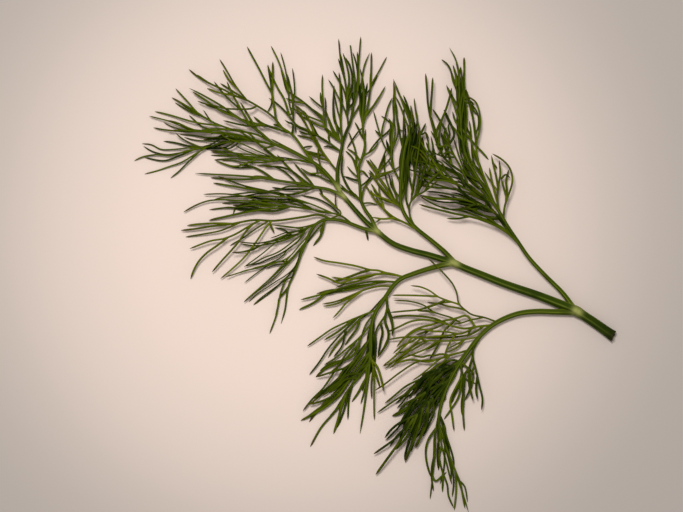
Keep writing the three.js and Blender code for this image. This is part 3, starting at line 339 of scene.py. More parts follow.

# %% [markdown]
# ## The finer threads
#
# The imported model holds the threads that give the leaf its shape. The real leaf has many more, and
# these are the ones that can be told apart: they cross the gaps and end in tips of their own. They
# are added to their spray or stalk in the same way, and start on its nearest thread.

# %% Finer threads of the right side stalks
FINER = {
    "right_1_stalk": [
        [25.3, 49.4, 26.8, 48.6, 27.8, 47.7], [25.4, 48.6, 27.4, 47, 28.5, 46.1],
        [26.2, 46.9, 27.6, 46, 28.6, 44.9], [25.8, 50.2, 25.4, 51, 25.5, 52.2],
        [26, 41, 28.5, 36, 30, 34.5, 31.8, 32.4],
        [33.5, 20.5, 31.5, 24.6, 29.6, 27.8, 27.6, 30.6, 26.4, 33, 25.6, 36.6, 25.2, 41, 25.4, 45.6, 25,
         50],
        [33, 21.5, 31, 24.6, 29, 27, 26.6, 29.4, 25, 32.6, 24.6, 37, 24.6, 42, 24.4, 47],
        [35.4, 16.8, 33.4, 19.4, 31.2, 22.2, 28.4, 25.4, 25.4, 28.8, 23.8, 32.4, 22.8, 35.6, 22, 38.4],
        [30.2, 24.8, 28.6, 26.8, 27, 28.6, 25.4, 30.6, 24, 33.6, 23.4, 38, 23.4, 43, 23, 48, 22.8, 52.6],
        [24, 40, 23.2, 42, 22.3, 43.6, 21.7, 45.9],
        [23.4, 44, 22.4, 46.6, 21.8, 48.6, 21.2, 50.2, 20.4, 52, 20, 53.3],
        [23.9, 47, 24.6, 52, 24.9, 56.5, 24.8, 61], [23.4, 52, 23.2, 54.6, 23.6, 56.6, 23.9, 58.4],
        [23.4, 50, 22.4, 52.8, 21.6, 54.8, 21.2, 57.4, 20.2, 59.2, 18.6, 60.4],
        [23.2, 53, 22.8, 55.6, 22.2, 57.4, 21.8, 58.9],
        [24.5, 40, 24, 44, 23.8, 48, 23.4, 52, 23.3, 57, 22.6, 60],
        [25.2, 36, 25.4, 41, 25.6, 46, 25, 51, 24.7, 57], [25, 42.4, 25.8, 40.8, 26.6, 39.4, 27.1, 37.8]],
    "right_1_loop_spray": [
        [35, 28.8, 36.5, 28.2, 37.8, 27.2], [36.6, 20.6, 36.8, 23.6, 36.6, 26.4, 37.4, 29.6]],
    "right_1_inner_spray": [
        [33, 31, 34.2, 30], [34.2, 20.6, 33.2, 24, 32.4, 27.6, 32, 30.2]],
    "right_1_arch_spray": [
        [28.9, 30.5, 27.6, 33.5, 26.9, 37, 26.8, 40, 26.4, 43.3],
        [28.2, 39, 28.8, 41.5, 28.8, 44.5, 28, 46.6, 26.6, 48.2],
        [29.8, 28.5, 29, 31.6, 27.6, 34, 26.8, 37],
        [28, 38.4, 27.7, 41, 27.3, 44, 26.7, 47, 26, 50, 25.5, 52],
        [30.6, 27.4, 29.2, 29.4, 27.6, 31, 26.2, 33, 25.6, 35.4]],
    "right_1_tall_spray": [
        [15.2, 37.8, 17, 39.5, 17.6, 41.6, 18.4, 43, 19.6, 46],
        [20.3, 36.8, 22, 39, 21.4, 41.6, 20.6, 43.4, 19.6, 45.6, 19.2, 46.3],
        [17.1, 38, 16.9, 40, 16.3, 42, 15.6, 44.6], [20.6, 37.4, 19.4, 38.4, 19.4, 39.8, 20, 41.4],
        [20.4, 38, 20.8, 39.6, 20.4, 41, 20.6, 42.6], [18.2, 33.6, 18, 36.6, 16.6, 38.8, 15.6, 40.4],
        [22, 31.4, 20.6, 33.6, 19.4, 36, 19, 38.6]],
    "right_1_under_spray": [
        [26.5, 16.2, 23, 15.9, 20, 15.9],
        [38.8, 10.2, 35.2, 13.6, 31.5, 15.4, 28, 16.8, 24, 18.2, 20.6, 18.6],
        [39.6, 9.6, 37.4, 12.6, 35.6, 15.6], [37.9, 11.2, 35.8, 14.6, 33.8, 17.4, 31, 20.4],
        [36.6, 12, 33, 15, 29.4, 17.2, 26, 18.8], [38, 11.6, 36, 14, 34.4, 16.2, 33, 18.6]],
    "right_1_fan_spray": [
        [31.4, 21.1, 27, 24.6, 23.4, 27.6, 20, 29.6, 17, 31, 13.6, 32.6, 10.4, 34.4],
        [28, 22.8, 25, 26, 22.6, 28.8, 20.6, 30.6, 18.4, 32.3],
        [26, 25.8, 24.2, 29.4, 22.6, 32.4, 21.4, 34.6, 20.2, 37.4],
        [24, 24.7, 20, 27, 18.2, 29.4, 17, 32.4, 16.4, 36], [22.8, 34.3, 20.6, 34.4, 18.4, 33.6],
        [21.4, 33, 19.6, 33, 17.6, 33.6, 15.4, 34.8], [21.8, 36.2, 20, 36.3, 18, 35.8, 16.6, 36.6],
        [22, 26, 17, 28, 13, 29.4, 11.4, 30.4], [25, 23, 20.5, 24.4, 16.4, 25.6, 12.6, 26.6],
        [18.8, 29.4, 17.6, 28.4, 16.6, 27, 15, 25.8, 12.8, 25],
        [15.4, 30.4, 14.4, 28.8, 13.6, 27.4, 12.4, 26.4, 11.4, 24.8], [17, 29.2, 14.2, 33.4, 12.6, 36.6],
        [18, 30.6, 15.6, 34.2, 14.2, 37.4], [15.6, 31.4, 12.6, 35, 9.6, 36.4],
        [17.4, 26.8, 14.4, 28.6, 11.4, 29, 9, 29.8], [14.4, 30.2, 12.2, 31.6, 10, 33.4],
        [17.8, 34, 18.8, 35.4, 18.2, 36.4], [16.6, 27.8, 15, 29.6, 14, 31.4, 12, 33]],
    "right_1_low_spray": [
        [31, 18.7, 27, 21, 23.4, 22.2, 20, 22.8, 17, 23.3, 14.4, 23.5],
        [29, 20, 25, 21, 21, 21.3, 17, 21.6, 14.5, 22, 12.5, 22.4],
        [27, 19.4, 23, 20.3, 19, 20.5, 16, 21.1, 13.4, 22.1],
        [32.6, 17, 28, 19.2, 24.4, 20.6, 20.6, 21.9, 17.6, 22.6],
        [30, 18, 26.4, 18.6, 24, 18.5, 21, 18.5, 18.4, 19.4],
        [27.4, 22.4, 23.6, 23.8, 19.6, 24.3, 16.4, 24.5, 13.6, 25.2]],
    "right_2_stalk": [
        [7.1, 21, 6.9, 26, 7.2, 31, 7.8, 37, 7.9, 40, 8, 43, 8.1, 47],
        [7.4, 36, 7, 39, 6.6, 42, 6.1, 44.6, 6, 48], [9.2, 40.6, 8.4, 43.6, 7.6, 46, 6.6, 48.4, 5.8, 50],
        [10.4, 42.6, 9.4, 45.4, 8.2, 48, 6.6, 51, 5.6, 53.8], [10.6, 42, 9.8, 45, 9, 47.8, 8, 50.4],
        [11.4, 40.6, 10.8, 43.4, 10.2, 45.6, 9.9, 47.5], [5.9, 23, 4.4, 25.4, 4.2, 27, 3.7, 28.6],
        [8.2, 22, 8.6, 28, 9, 33, 10.4, 38, 11.4, 42], [7.8, 24, 7.6, 30, 8.4, 35, 9.6, 39.6, 10, 43],
        [6.6, 40.9, 8, 40.4], [6.8, 38.6, 8.2, 38.2]],
    "right_2_bend_spray": [
        [9.4, 18.6, 8.7, 20.8, 8.6, 24, 9, 29, 9.8, 34, 11, 39, 11.8, 43.5, 11.2, 47],
        [10.2, 24, 9.4, 28, 9.2, 33, 9.9, 38.5, 10.8, 43, 10.3, 45.5],
        [12.6, 39.8, 13.2, 39.4, 14, 39.9, 15.1, 38.2], [10.8, 21.6, 12.6, 24.6, 14.2, 27.6, 15, 30.4],
        [12.2, 24.4, 13.6, 29.6, 13.8, 34, 13, 38], [13.6, 23.4, 15.4, 26.4, 17.8, 28.8],
        [11.4, 22.6, 12, 26, 12.6, 30, 12.4, 34, 11.6, 38],
        [12.8, 24, 14.8, 28, 15.8, 32, 16.2, 36, 15.6, 39],
        [9.6, 22.6, 11, 27, 11, 32, 11.8, 37, 12.4, 40.6]],
    "right_2_left_spray": [
        [4.8, 30.4, 4.4, 35.7, 4.1, 39.6, 4.7, 42.1, 3.4, 43.5, 1.7, 44.7],
        [6.4, 35.1, 5.6, 39.6, 5.3, 43.3, 5, 48.3, 5.3, 51.1, 5.2, 54.5],
        [6.6, 34.6, 6.4, 39.6, 6.1, 43.5, 6, 46.9, 5.4, 49.4], [1.5, 39.2, 0, 40.7],
        [4.2, 41.4, 3.1, 39.7, 1.4, 38.4, -0.3, 36.4, -2, 34.2], [4.6, 42, 4.4, 43, 3.7, 44],
        [6.9, 24.6, 6.2, 27.6, 4.6, 30.7, 3.4, 32.6], [6.2, 33.4, 3.4, 31.6, 0.6, 29],
        [2.6, 34.6, 1.2, 30.4, 0.5, 28.6]],
    "right_2_low_spray": [
        [8.8, 14.2, 7.3, 15.2, 5, 15.9, 3.9, 16.8, 2.7, 18.2, 1.4, 20, 0.2, 22],
        [1.6, 16, 0.8, 15.3, 0, 14.7], [2, 20, 1.2, 22, 0.2, 23.6, -1.2, 25.8]],
    "right_2_web_spray": [
        [7, 19, 6.2, 20.2, 4.5, 22.7, 3, 25, 1.7, 27], [6, 20, 3.8, 22, 2, 23.9, 1, 25.2, 0, 26.8],
        [6.4, 19.6, 3.7, 21, 2.5, 21.5, 1.2, 21.9, -0.5, 22.6, -1.3, 24],
        [6.6, 20, 5.8, 22.3, 5, 25, 4.6, 27.5], [5, 21.6, 3.2, 26.6, 2.6, 30, 2.8, 34],
        [4.8, 21.6, 3.6, 23.8, 1.7, 26.4, -0.3, 29.6, -2, 32.3], [1, 28.2, 5.2, 29.4, 7.6, 31],
        [0.7, 28.4, 1.5, 30.5, 2.3, 32.5, 2.6, 34], [0.9, 29, 2, 30.5, 3.2, 31.3],
        [0.5, 29.3, -0.3, 30.8, -1.6, 32.7], [-0.8, 29.6, -1.3, 30.9, -2.5, 32.4],
        [-0.3, 27.4, -0.7, 28.3, -1.6, 29.5]],
    "right_3_stalk": [
        [-3.9, 21, -3.6, 22.5, -3.2, 24.1, -2.6, 25.3, -1.6, 26.4, -0.3, 27.6],
        [-4.2, 21.3, -6, 23, -8.3, 23.7, -10, 25], [-3.3, 20.2, -1.5, 20.3, 0.8, 19.7],
        [-2.7, 44.3, -1, 46.5, 0.2, 48.5, 1.6, 50.8],
        [-2.8, 44.5, -2.2, 46.5, -1.8, 49, -1.4, 51.5, -1.3, 55.6, -0.9, 58.8],
        [-3, 50.2, -1.5, 52, -0.3, 54, 0.8, 56], [-4.6, 32, -6, 34.4, -7.8, 35.5],
        [-3.5, 38, -4, 39.5, -4.7, 41.2, -5.7, 43], [-4.8, 27.3, -6.5, 29, -7.8, 30.6],
        [-4.6, 26.5, -6.5, 27, -8.7, 27.8], [-3.5, 42.8, -4.2, 46, -4.2, 50, -4.8, 53.4],
        [-3.4, 46, -2.9, 50.5, -3.4, 54.5, -4.2, 58], [-4.4, 24.6, -3, 25.7, -1.7, 27, -0.7, 28.4],
        [-4.6, 29, -3.6, 29.2, -1.7, 27.3], [-4, 32.2, -2.9, 34.6, -2.8, 38, -2.6, 41],
        [-4.8, 32, -5.6, 35.4, -6.4, 37.6, -7.3, 40.2], [-3.6, 41.4, -4.4, 40.5, -6.3, 38, -7.9, 35.6],
        [-5, 31.2, -6.4, 33, -7.9, 34.8], [-5, 21.6, -7, 23, -8.6, 24.4, -9.7, 25.6],
        [-4.6, 21.4, -6, 22.8, -7.4, 24.4, -8.6, 26.6, -9.2, 28.8]],
}
print("finer threads so far:", sum(len(routes) for routes in FINER.values()))

# %% Finer threads of the left side stalks
FINER.update({
    "left_1_stalk": [
        [26.5, -26.2, 27.5, -27.5, 27.3, -29.3, 26.8, -31.6, 26, -33, 25.2, -35],
        [24.2, -24, 24.5, -27.5, 25, -28.8, 27, -29.7, 28.5, -30.5],
        [23.7, -24.8, 22, -28.6, 20.2, -31.4, 18.6, -34.2, 18, -36.6, 18.2, -40],
        [21, -33.4, 19.6, -34.4, 18.5, -36], [17.2, -56, 17, -57.5, 18.5, -56.3, 20, -55],
        [17.8, -44, 17.5, -48, 17.7, -51, 17.9, -54.3], [18.4, -43.6, 19.4, -47, 20.6, -51.4, 21.4, -55],
        [20.6, -50, 21.6, -54, 22, -58.4, 21.6, -62], [16.7, -50, 15.9, -53.4, 15.9, -57.4, 16.4, -60.4],
        [18, -38, 18.8, -42, 19.4, -45.6, 19.4, -50, 19.2, -54.4, 18.2, -58.4],
        [22.6, -55, 23.9, -58.2, 24.6, -62, 25.2, -65.2],
        [30, -16, 28.4, -19, 27, -21.6, 25.4, -24, 24, -26.6],
        [29, -18, 27.2, -20, 25.4, -21.4, 23.4, -24, 21.4, -25.8]],
    "left_1_long_spray": [
        [30, -12.5, 26, -12.6, 24, -13.3, 21.6, -13.6],
        [23.4, -12, 21.4, -11.8, 18.8, -11, 16.4, -10.2, 15, -9.2, 13.4, -8.2, 11.6, -7.6, 9, -7.1, 5.2,
         -7],
        [16.4, -10.2, 14, -9.9, 11.8, -9.9], [21, -7.2, 18.6, -7.6, 15.6, -8.4, 13, -9.3],
        [25.2, -9.8, 23.4, -9.1, 20.4, -8.6, 18, -7.9, 14.6, -7.5]],
    "left_1_net_spray": [
        [20, -13.2, 17, -12.1, 13, -11.4, 9, -11.2, 6, -11.5, 4.4, -11.8],
        [27.6, -11.2, 25.6, -11.2, 22.8, -11.9, 20.4, -12.4, 17.8, -13, 15.8, -13.7, 13, -14.4, 11, -15.2,
         8.4, -17.2, 6, -20],
        [22.8, -12, 21.4, -13.4, 19.6, -15, 18.6, -17, 17.8, -19, 16.6, -21.2, 15.2, -23.6],
        [23, -16.2, 21.6, -17.6, 20.6, -19.2, 19.8, -21.2, 19.3, -23],
        [19, -13.7, 17, -14.6, 15, -15.4, 13.6, -16.8], [27.2, -14.2, 26.4, -15.6, 25.8, -17.2],
        [30, -14.6, 28, -15.8, 26, -16.6, 22, -17.2, 17, -17.4, 12, -17.1],
        [16, -14.6, 13.6, -15.9, 11.4, -16.6]],
    "left_1_cross_spray": [
        [13.2, -14.8, 10.6, -17.1, 8.8, -19.2, 7.2, -20.7, 5.8, -22.3, 4, -23.9, 2.3, -25.1],
        [12, -17.6, 10, -18.5, 8, -19.3, 6.5, -20.4, 5, -21.8],
        [15, -18, 12.4, -19.6, 9.9, -21, 8, -21.8, 6.5, -23.1, 5, -24.3, 2.7, -26.2],
        [12.6, -18, 10.4, -19.7, 8.6, -21.1, 5.6, -21.8], [18.4, -18.5, 16, -19.9, 13.6, -20.9],
        [25.6, -18, 22.6, -19.3, 20.2, -20.5], [25, -19, 22.6, -20.4, 20, -21.4],
        [9.4, -21.6, 7, -23, 5.6, -24.6, 4.6, -25.6]],
    "left_1_lone_spray": [
        [20.6, -20.8, 18.4, -21.9, 16.6, -22.4, 14.8, -22.3, 13.2, -22.8, 11.4, -22.4, 9.2, -22.1],
        [17, -23.2, 15.4, -24, 13.4, -24, 10.6, -23.5, 8.4, -23.7, 5.6, -24.6],
        [24, -21.5, 20.6, -22.2, 18, -23.4, 15.4, -25.6, 12.6, -27.9, 10.4, -29.4],
        [21, -22.6, 18.6, -24.6, 16, -26.2, 13, -28]],
    "left_1_dense_spray": [
        [9.6, -32.2, 7.6, -34.2, 5.7, -35.9], [10, -33, 7.8, -35.3, 6.1, -37.1],
        [11, -33.4, 8.6, -35.8, 6.5, -38], [10, -36.6, 8, -37.9, 6, -39, 4.9, -39.4],
        [14.6, -28, 12.4, -29.9, 10.8, -32.2, 9.6, -34.4],
        [20, -24.6, 16.6, -26.4, 14.4, -28.4, 12.6, -30.6, 11.2, -33.2],
        [24.6, -21.4, 21.4, -23.6, 17.4, -26.2, 13.6, -28.6, 10.6, -31.4],
        [25.4, -21.6, 22, -24.6, 18.6, -28, 15.8, -31.4, 14, -34.8],
        [24, -23, 20.4, -25.6, 16.4, -29.4, 13.2, -33.2, 11.6, -36.8],
        [26, -21, 23.4, -24.6, 21, -28.4, 19.2, -32.2], [24.8, -22.6, 22.2, -26.6, 19.8, -30.6, 17, -34.2],
        [21.4, -22.9, 17.8, -24.9, 13.8, -28, 9.6, -31.9, 6.6, -35]],
    "left_1_bottom_spray": [
        [14, -36, 10.4, -40.4, 8.4, -42.6, 6.3, -44.6, 5.3, -46, 4.1, -47.9],
        [12, -38.4, 9.6, -39.8, 7.5, -41.2, 6, -43, 4.5, -44.6, 3, -46.1],
        [13.4, -37, 11, -42.6, 9.6, -46, 8.8, -48.6, 8.2, -51.4],
        [14, -37.4, 12.4, -41, 11.2, -43.6, 10.4, -46.6, 9.6, -49, 8.4, -52.2],
        [14.6, -37, 13, -41, 11.2, -45, 10.6, -47.1, 10, -49.4],
        [15.6, -35, 14.6, -38.4, 13.4, -42.8, 12.4, -45.6, 11, -48],
        [17.2, -34.6, 16.4, -38.4, 15.4, -40.8, 14.4, -43.1, 13.4, -45.1],
        [16, -34, 14.8, -37.6, 14.5, -40.4, 13.6, -42.6],
        [19, -29.6, 17.6, -33.4, 15.6, -36.6, 12.8, -40.4, 10.6, -44],
        [20.6, -28, 17, -31.6, 13.8, -35.6, 10.4, -39.6, 8.2, -43.4],
        [18, -29, 14.6, -32.2, 12, -35.8, 9.4, -39], [12.4, -31.4, 10.6, -35, 8.6, -38.6, 7, -41.4],
        [21, -27, 19.6, -31, 17.6, -35.4, 15.4, -39, 13.6, -42]],
    "left_1_side_spray": [
        [27.8, -25.2, 26.6, -28.4, 26.5, -31.5, 25.3, -34.5], [28.6, -28.6, 28.2, -31.6, 28.6, -34.6]],
    "left_1_low_side_spray": [
        [24.6, -32, 24.2, -35.6, 24.3, -39],
        [24, -28.4, 24, -31, 23.5, -33.4, 22.6, -35.4, 21, -37.8, 19.3, -40.3],
        [24, -27.6, 23.4, -31, 22.2, -33.4, 21.4, -35.8]],
    "left_2_upper_spray": [
        [-1.3, 1.7, -4.1, 0.8, -8.2, -0.7, -11.9, -1.8],
        [6.6, 0.3, 1.2, 0.5, -1.7, -0.4, -5.4, -1.7, -8.5, -2.4, -11, -3.4],
        [-1.6, -0.7, -5.4, -0.9, -9.1, -0.9, -12.2, -0.4]],
    "left_2_mid_spray": [
        [3.4, -1.6, -4.1, -2.8, -8.5, -3.6, -13.2, -4.2, -16.3, -5.1],
        [-9, -3.9, -12.6, -5, -14.2, -5.3, -16.9, -7.7], [0.4, -2, -5, -3.4, -9.6, -4.4, -13.4, -4.8]],
    "left_2_side_spray": [
        [-5.6, -5.4, -8.4, -6.8, -10.6, -7.8, -14.4, -8.7]],
    "left_2_brush_spray_1": [
        [-2.6, -11.6, -6, -14, -9.4, -17.7, -11.6, -20.5, -13.1, -23],
        [-3.6, -12.4, -5, -14.6, -7, -17.4, -8.4, -19.5], [-8, -14.6, -8.6, -17, -9.2, -19.6, -11.6, -22.8]],
    "left_2_brush_spray_2": [
        [-2.5, -18, -5.6, -21.9, -9.5, -24, -14, -26.1, -16.6, -28.4],
        [-8.4, -23.4, -12.4, -24.6, -15.4, -26.6], [-5, -19, -7.6, -22.6, -10.4, -25.4, -13, -27.6]],
    "left_2_brush_spray_3": [
        [-1.6, -17.6, -3.4, -20, -5, -22.2, -6.6, -24.8, -8.6, -27, -11, -29.4, -13, -31.2],
        [-1.8, -19.4, -3.6, -21.8, -5, -24.2, -7, -26.6, -9, -28.7, -12, -31, -14, -32.4, -16, -34.1,
         -18.4, -36.1],
        [-4.4, -22, -6.8, -25.6, -9.4, -28.2, -11.4, -30, -14, -31.9, -17, -34.4],
        [-8, -25.5, -10, -28.4, -11.2, -30.6]],
    "left_2_brush_spray_4": [
        [-1.4, -20.6, -3, -23, -4.5, -25.2, -6.5, -27.5, -8.4, -29.8, -10.6, -32.2, -13, -34.6, -15.4,
         -36.8],
        [0.4, -22.8, -1.5, -24, -4, -26.2, -6, -28.2, -8, -30.4, -9.6, -32.6, -12.6, -35.4, -15.2, -37.4,
         -17, -39, -18.4, -41],
        [-5, -27.2, -7.6, -30, -9.4, -32.8, -11.4, -34.8, -14, -36.4, -16.8, -38.2],
        [-8, -31, -10.4, -33.4, -13, -35.3, -16, -37.4, -18.6, -39.4, -20.4, -40.5]],
    "left_2_brush_spray_5": [
        [-2.4, -25, -4.4, -27.8, -6.4, -30.4, -8, -33, -9.8, -35.6, -11, -37.6, -13, -39.8],
        [-8, -32.4, -9.4, -35.4, -9.8, -38, -10.1, -40, -10.8, -42, -11.6, -44.3],
        [-7.6, -32.6, -8, -35, -8.8, -38, -9.6, -40.2, -10.6, -42.6],
        [-6, -29.6, -7.4, -32.4, -8.4, -35.4],
        [-2, -26.4, -2.4, -28.4, -3.4, -30.2, -4.6, -32.6, -6.5, -35.4],
        [-3.2, -29.8, -3.4, -30.8, -3.5, -32.4], [-4.4, -27.4, -5.8, -29.4, -6.6, -31.4, -7.2, -34]],
    "left_2_stalk": [
        [-1.2, -17, -2.2, -21, -3.4, -25, -4.2, -29], [-2, -28, -2.9, -32, -4, -36],
        [0.2, -10, -2.4, -13.4, -4, -17.6, -5.8, -22], [3.5, -5, 1, -7.6, -1.4, -10.2, -4.4, -12.4]],
    "left_2_inner_spray": [
        [-0.5, -26, -1, -30, -0.9, -34.6], [-0.6, -25.4, 0.4, -28, 1.4, -31.4]],
    "left_2_edge_spray": [
        [2.4, -11, 1.6, -13, 0.5, -14.8, 0.1, -16.6, 0.3, -18.4, 0.1, -20.6, 0.4, -22.4],
        [2.1, -13.4, 2.1, -16, 1.6, -18, 1.2, -20.4, 0.8, -22.4],
        [3.2, -7.4, 3.8, -10.6, 4.4, -12.4, 4.9, -14.4, 4.8, -16.6],
        [2.9, -11.6, 2.9, -13.8, 3.7, -15.4, 3.8, -17, 3.2, -18.6, 2.2, -20.6]],
    "left_3_stalk": [
        [-2.4, 12.9, -1.9, 9.7], [-14.4, 14.4, -15.2, 12.6, -15.1, 11.2],
        [-15, 13.2, -15.2, 11.2, -16.2, 9.8, -17.3, 8.3],
        [-14.6, 15, -16.2, 12.8, -17.8, 10.8, -19.2, 8.8], [-16.6, 13.8, -18, 12, -18.8, 10.4, -19.9, 7.8],
        [-24.1, -3.2, -25.6, -5, -26.8, -6.3, -27.1, -8.4, -27.9, -11.8]],
    "left_3_band_spray": [
        [-24, 19.3, -28, 20.6, -32, 21, -36, 20.9, -41.6, 21.1],
        [-26, 19.6, -34, 20.2, -38, 20.4, -42.8, 20.2],
        [-27, 19.4, -30, 19.3, -35, 19.6, -39, 19, -41.5, 19, -46.4, 18.4],
        [-26, 19, -28, 18.8, -33, 18.5, -37, 18.3, -40, 18.9],
        [-24, 18.8, -28, 18, -34, 18.2, -38, 17.4, -42, 16.5, -46.2, 15.6], [-39, 18.4, -39.8, 16.9],
        [-12, 17.2, -18, 20, -24, 21.8, -28, 22, -33, 22.2, -37, 22.1, -41.6, 22, -45, 21.3],
        [-9.5, 16.7, -12.4, 19.4, -16, 21.4, -20.6, 22.4],
        [-12.6, 16.3, -16, 17.9, -20.1, 19.9, -24.5, 21.8, -28.5, 23, -33, 23.6],
        [-13, 16.3, -17, 18.3, -21, 19.6, -26.6, 20.8, -33, 20.4, -38, 19.8]],
    "left_3_thread_spray": [
        [-6.5, 14.8, -9.3, 17.6, -10.8, 18.9, -11.1, 23], [-10.8, 18.9, -13, 21, -15.7, 23.2],
        [-29.4, 15.2, -33.4, 13, -36.8, 10.6, -40.6, 8.4], [-38, 14.8, -43, 12.6, -48, 11.6, -53, 10.8],
        [-40, 14.4, -44, 14.6, -49, 14.4, -52.6, 14], [-28.9, 13.7, -28.2, 11.9]],
    "left_3_fan_spray": [
        [-16.2, 14.4, -18.5, 13.9, -21, 13.4, -24, 13.5, -27, 14],
        [-17, 14, -20, 12.7, -23.5, 12.2, -25.6, 11.8, -27.5, 11, -29.4, 10.4],
        [-20.5, 11.6, -22.5, 11, -24.2, 11.9, -25.4, 12.8, -28, 13.4],
        [-19, 12.6, -21.5, 11.6, -24, 11.2, -27, 10.3, -29.5, 9.6, -33, 9, -38.2, 9.4],
        [-21, 11, -24.5, 10.2, -28, 9.2, -31, 8.6, -33.4, 8.3, -37.6, 8.9],
        [-22, 11.2, -26, 10.2, -30, 9.2, -32, 8.4, -34, 7.2, -36, 6.7, -39.8, 6.4],
        [-18.5, 12.4, -20.8, 11.2, -22.4, 10, -24, 8.7, -26, 7.2, -28, 6.1, -31, 5, -34, 3.4, -36.6, 2.5],
        [-19, 11.8, -21, 10.2, -22.6, 8.7, -24.6, 7.2, -27, 5.8, -29.4, 4.8, -32, 3.6, -34.8, 2.9],
        [-20.4, 10.4, -22, 9, -24.2, 7.6, -25.4, 6, -26.8, 4.7, -28.6, 3.8, -30.6, 2.4],
        [-28, 4.2, -31, 2.8, -33.6, 1.9, -36, 1.5, -38.5, 0.6, -41.7, -0.3],
        [-29, 3.2, -31.5, 1.8, -34, 0, -36.6, -2.1]],
    "left_3_low_spray": [
        [-17, 12.2, -18.6, 10.6, -20.4, 8.2, -22.4, 5.8, -24.4, 3.8, -26.4, 1.8, -28.6, -0.2, -30.6, -2,
         -32.6, -3.7],
        [-18.4, 10.6, -20.2, 8, -22.8, 5, -25, 2.6, -27.8, -0.4, -31, -3, -34, -5.2, -36.7, -7.4],
        [-20.2, 7, -21.6, 4.2, -22.6, 2.2, -25, 0, -27.6, -1.6, -30, -3.2, -33, -5.2, -35.4, -7.4],
        [-22.4, 2.2, -23, -0.1, -25.6, -1.6, -28.6, -3.8, -31.6, -6, -34, -8.1],
        [-24.3, 4.2, -26.4, 3.9, -28.4, 3.6, -31, 2.8, -34.4, 2], [-24.8, 3.2, -28, 2.9, -30.6, 1.9]],
})
print("finer threads so far:", sum(len(routes) for routes in FINER.values()))

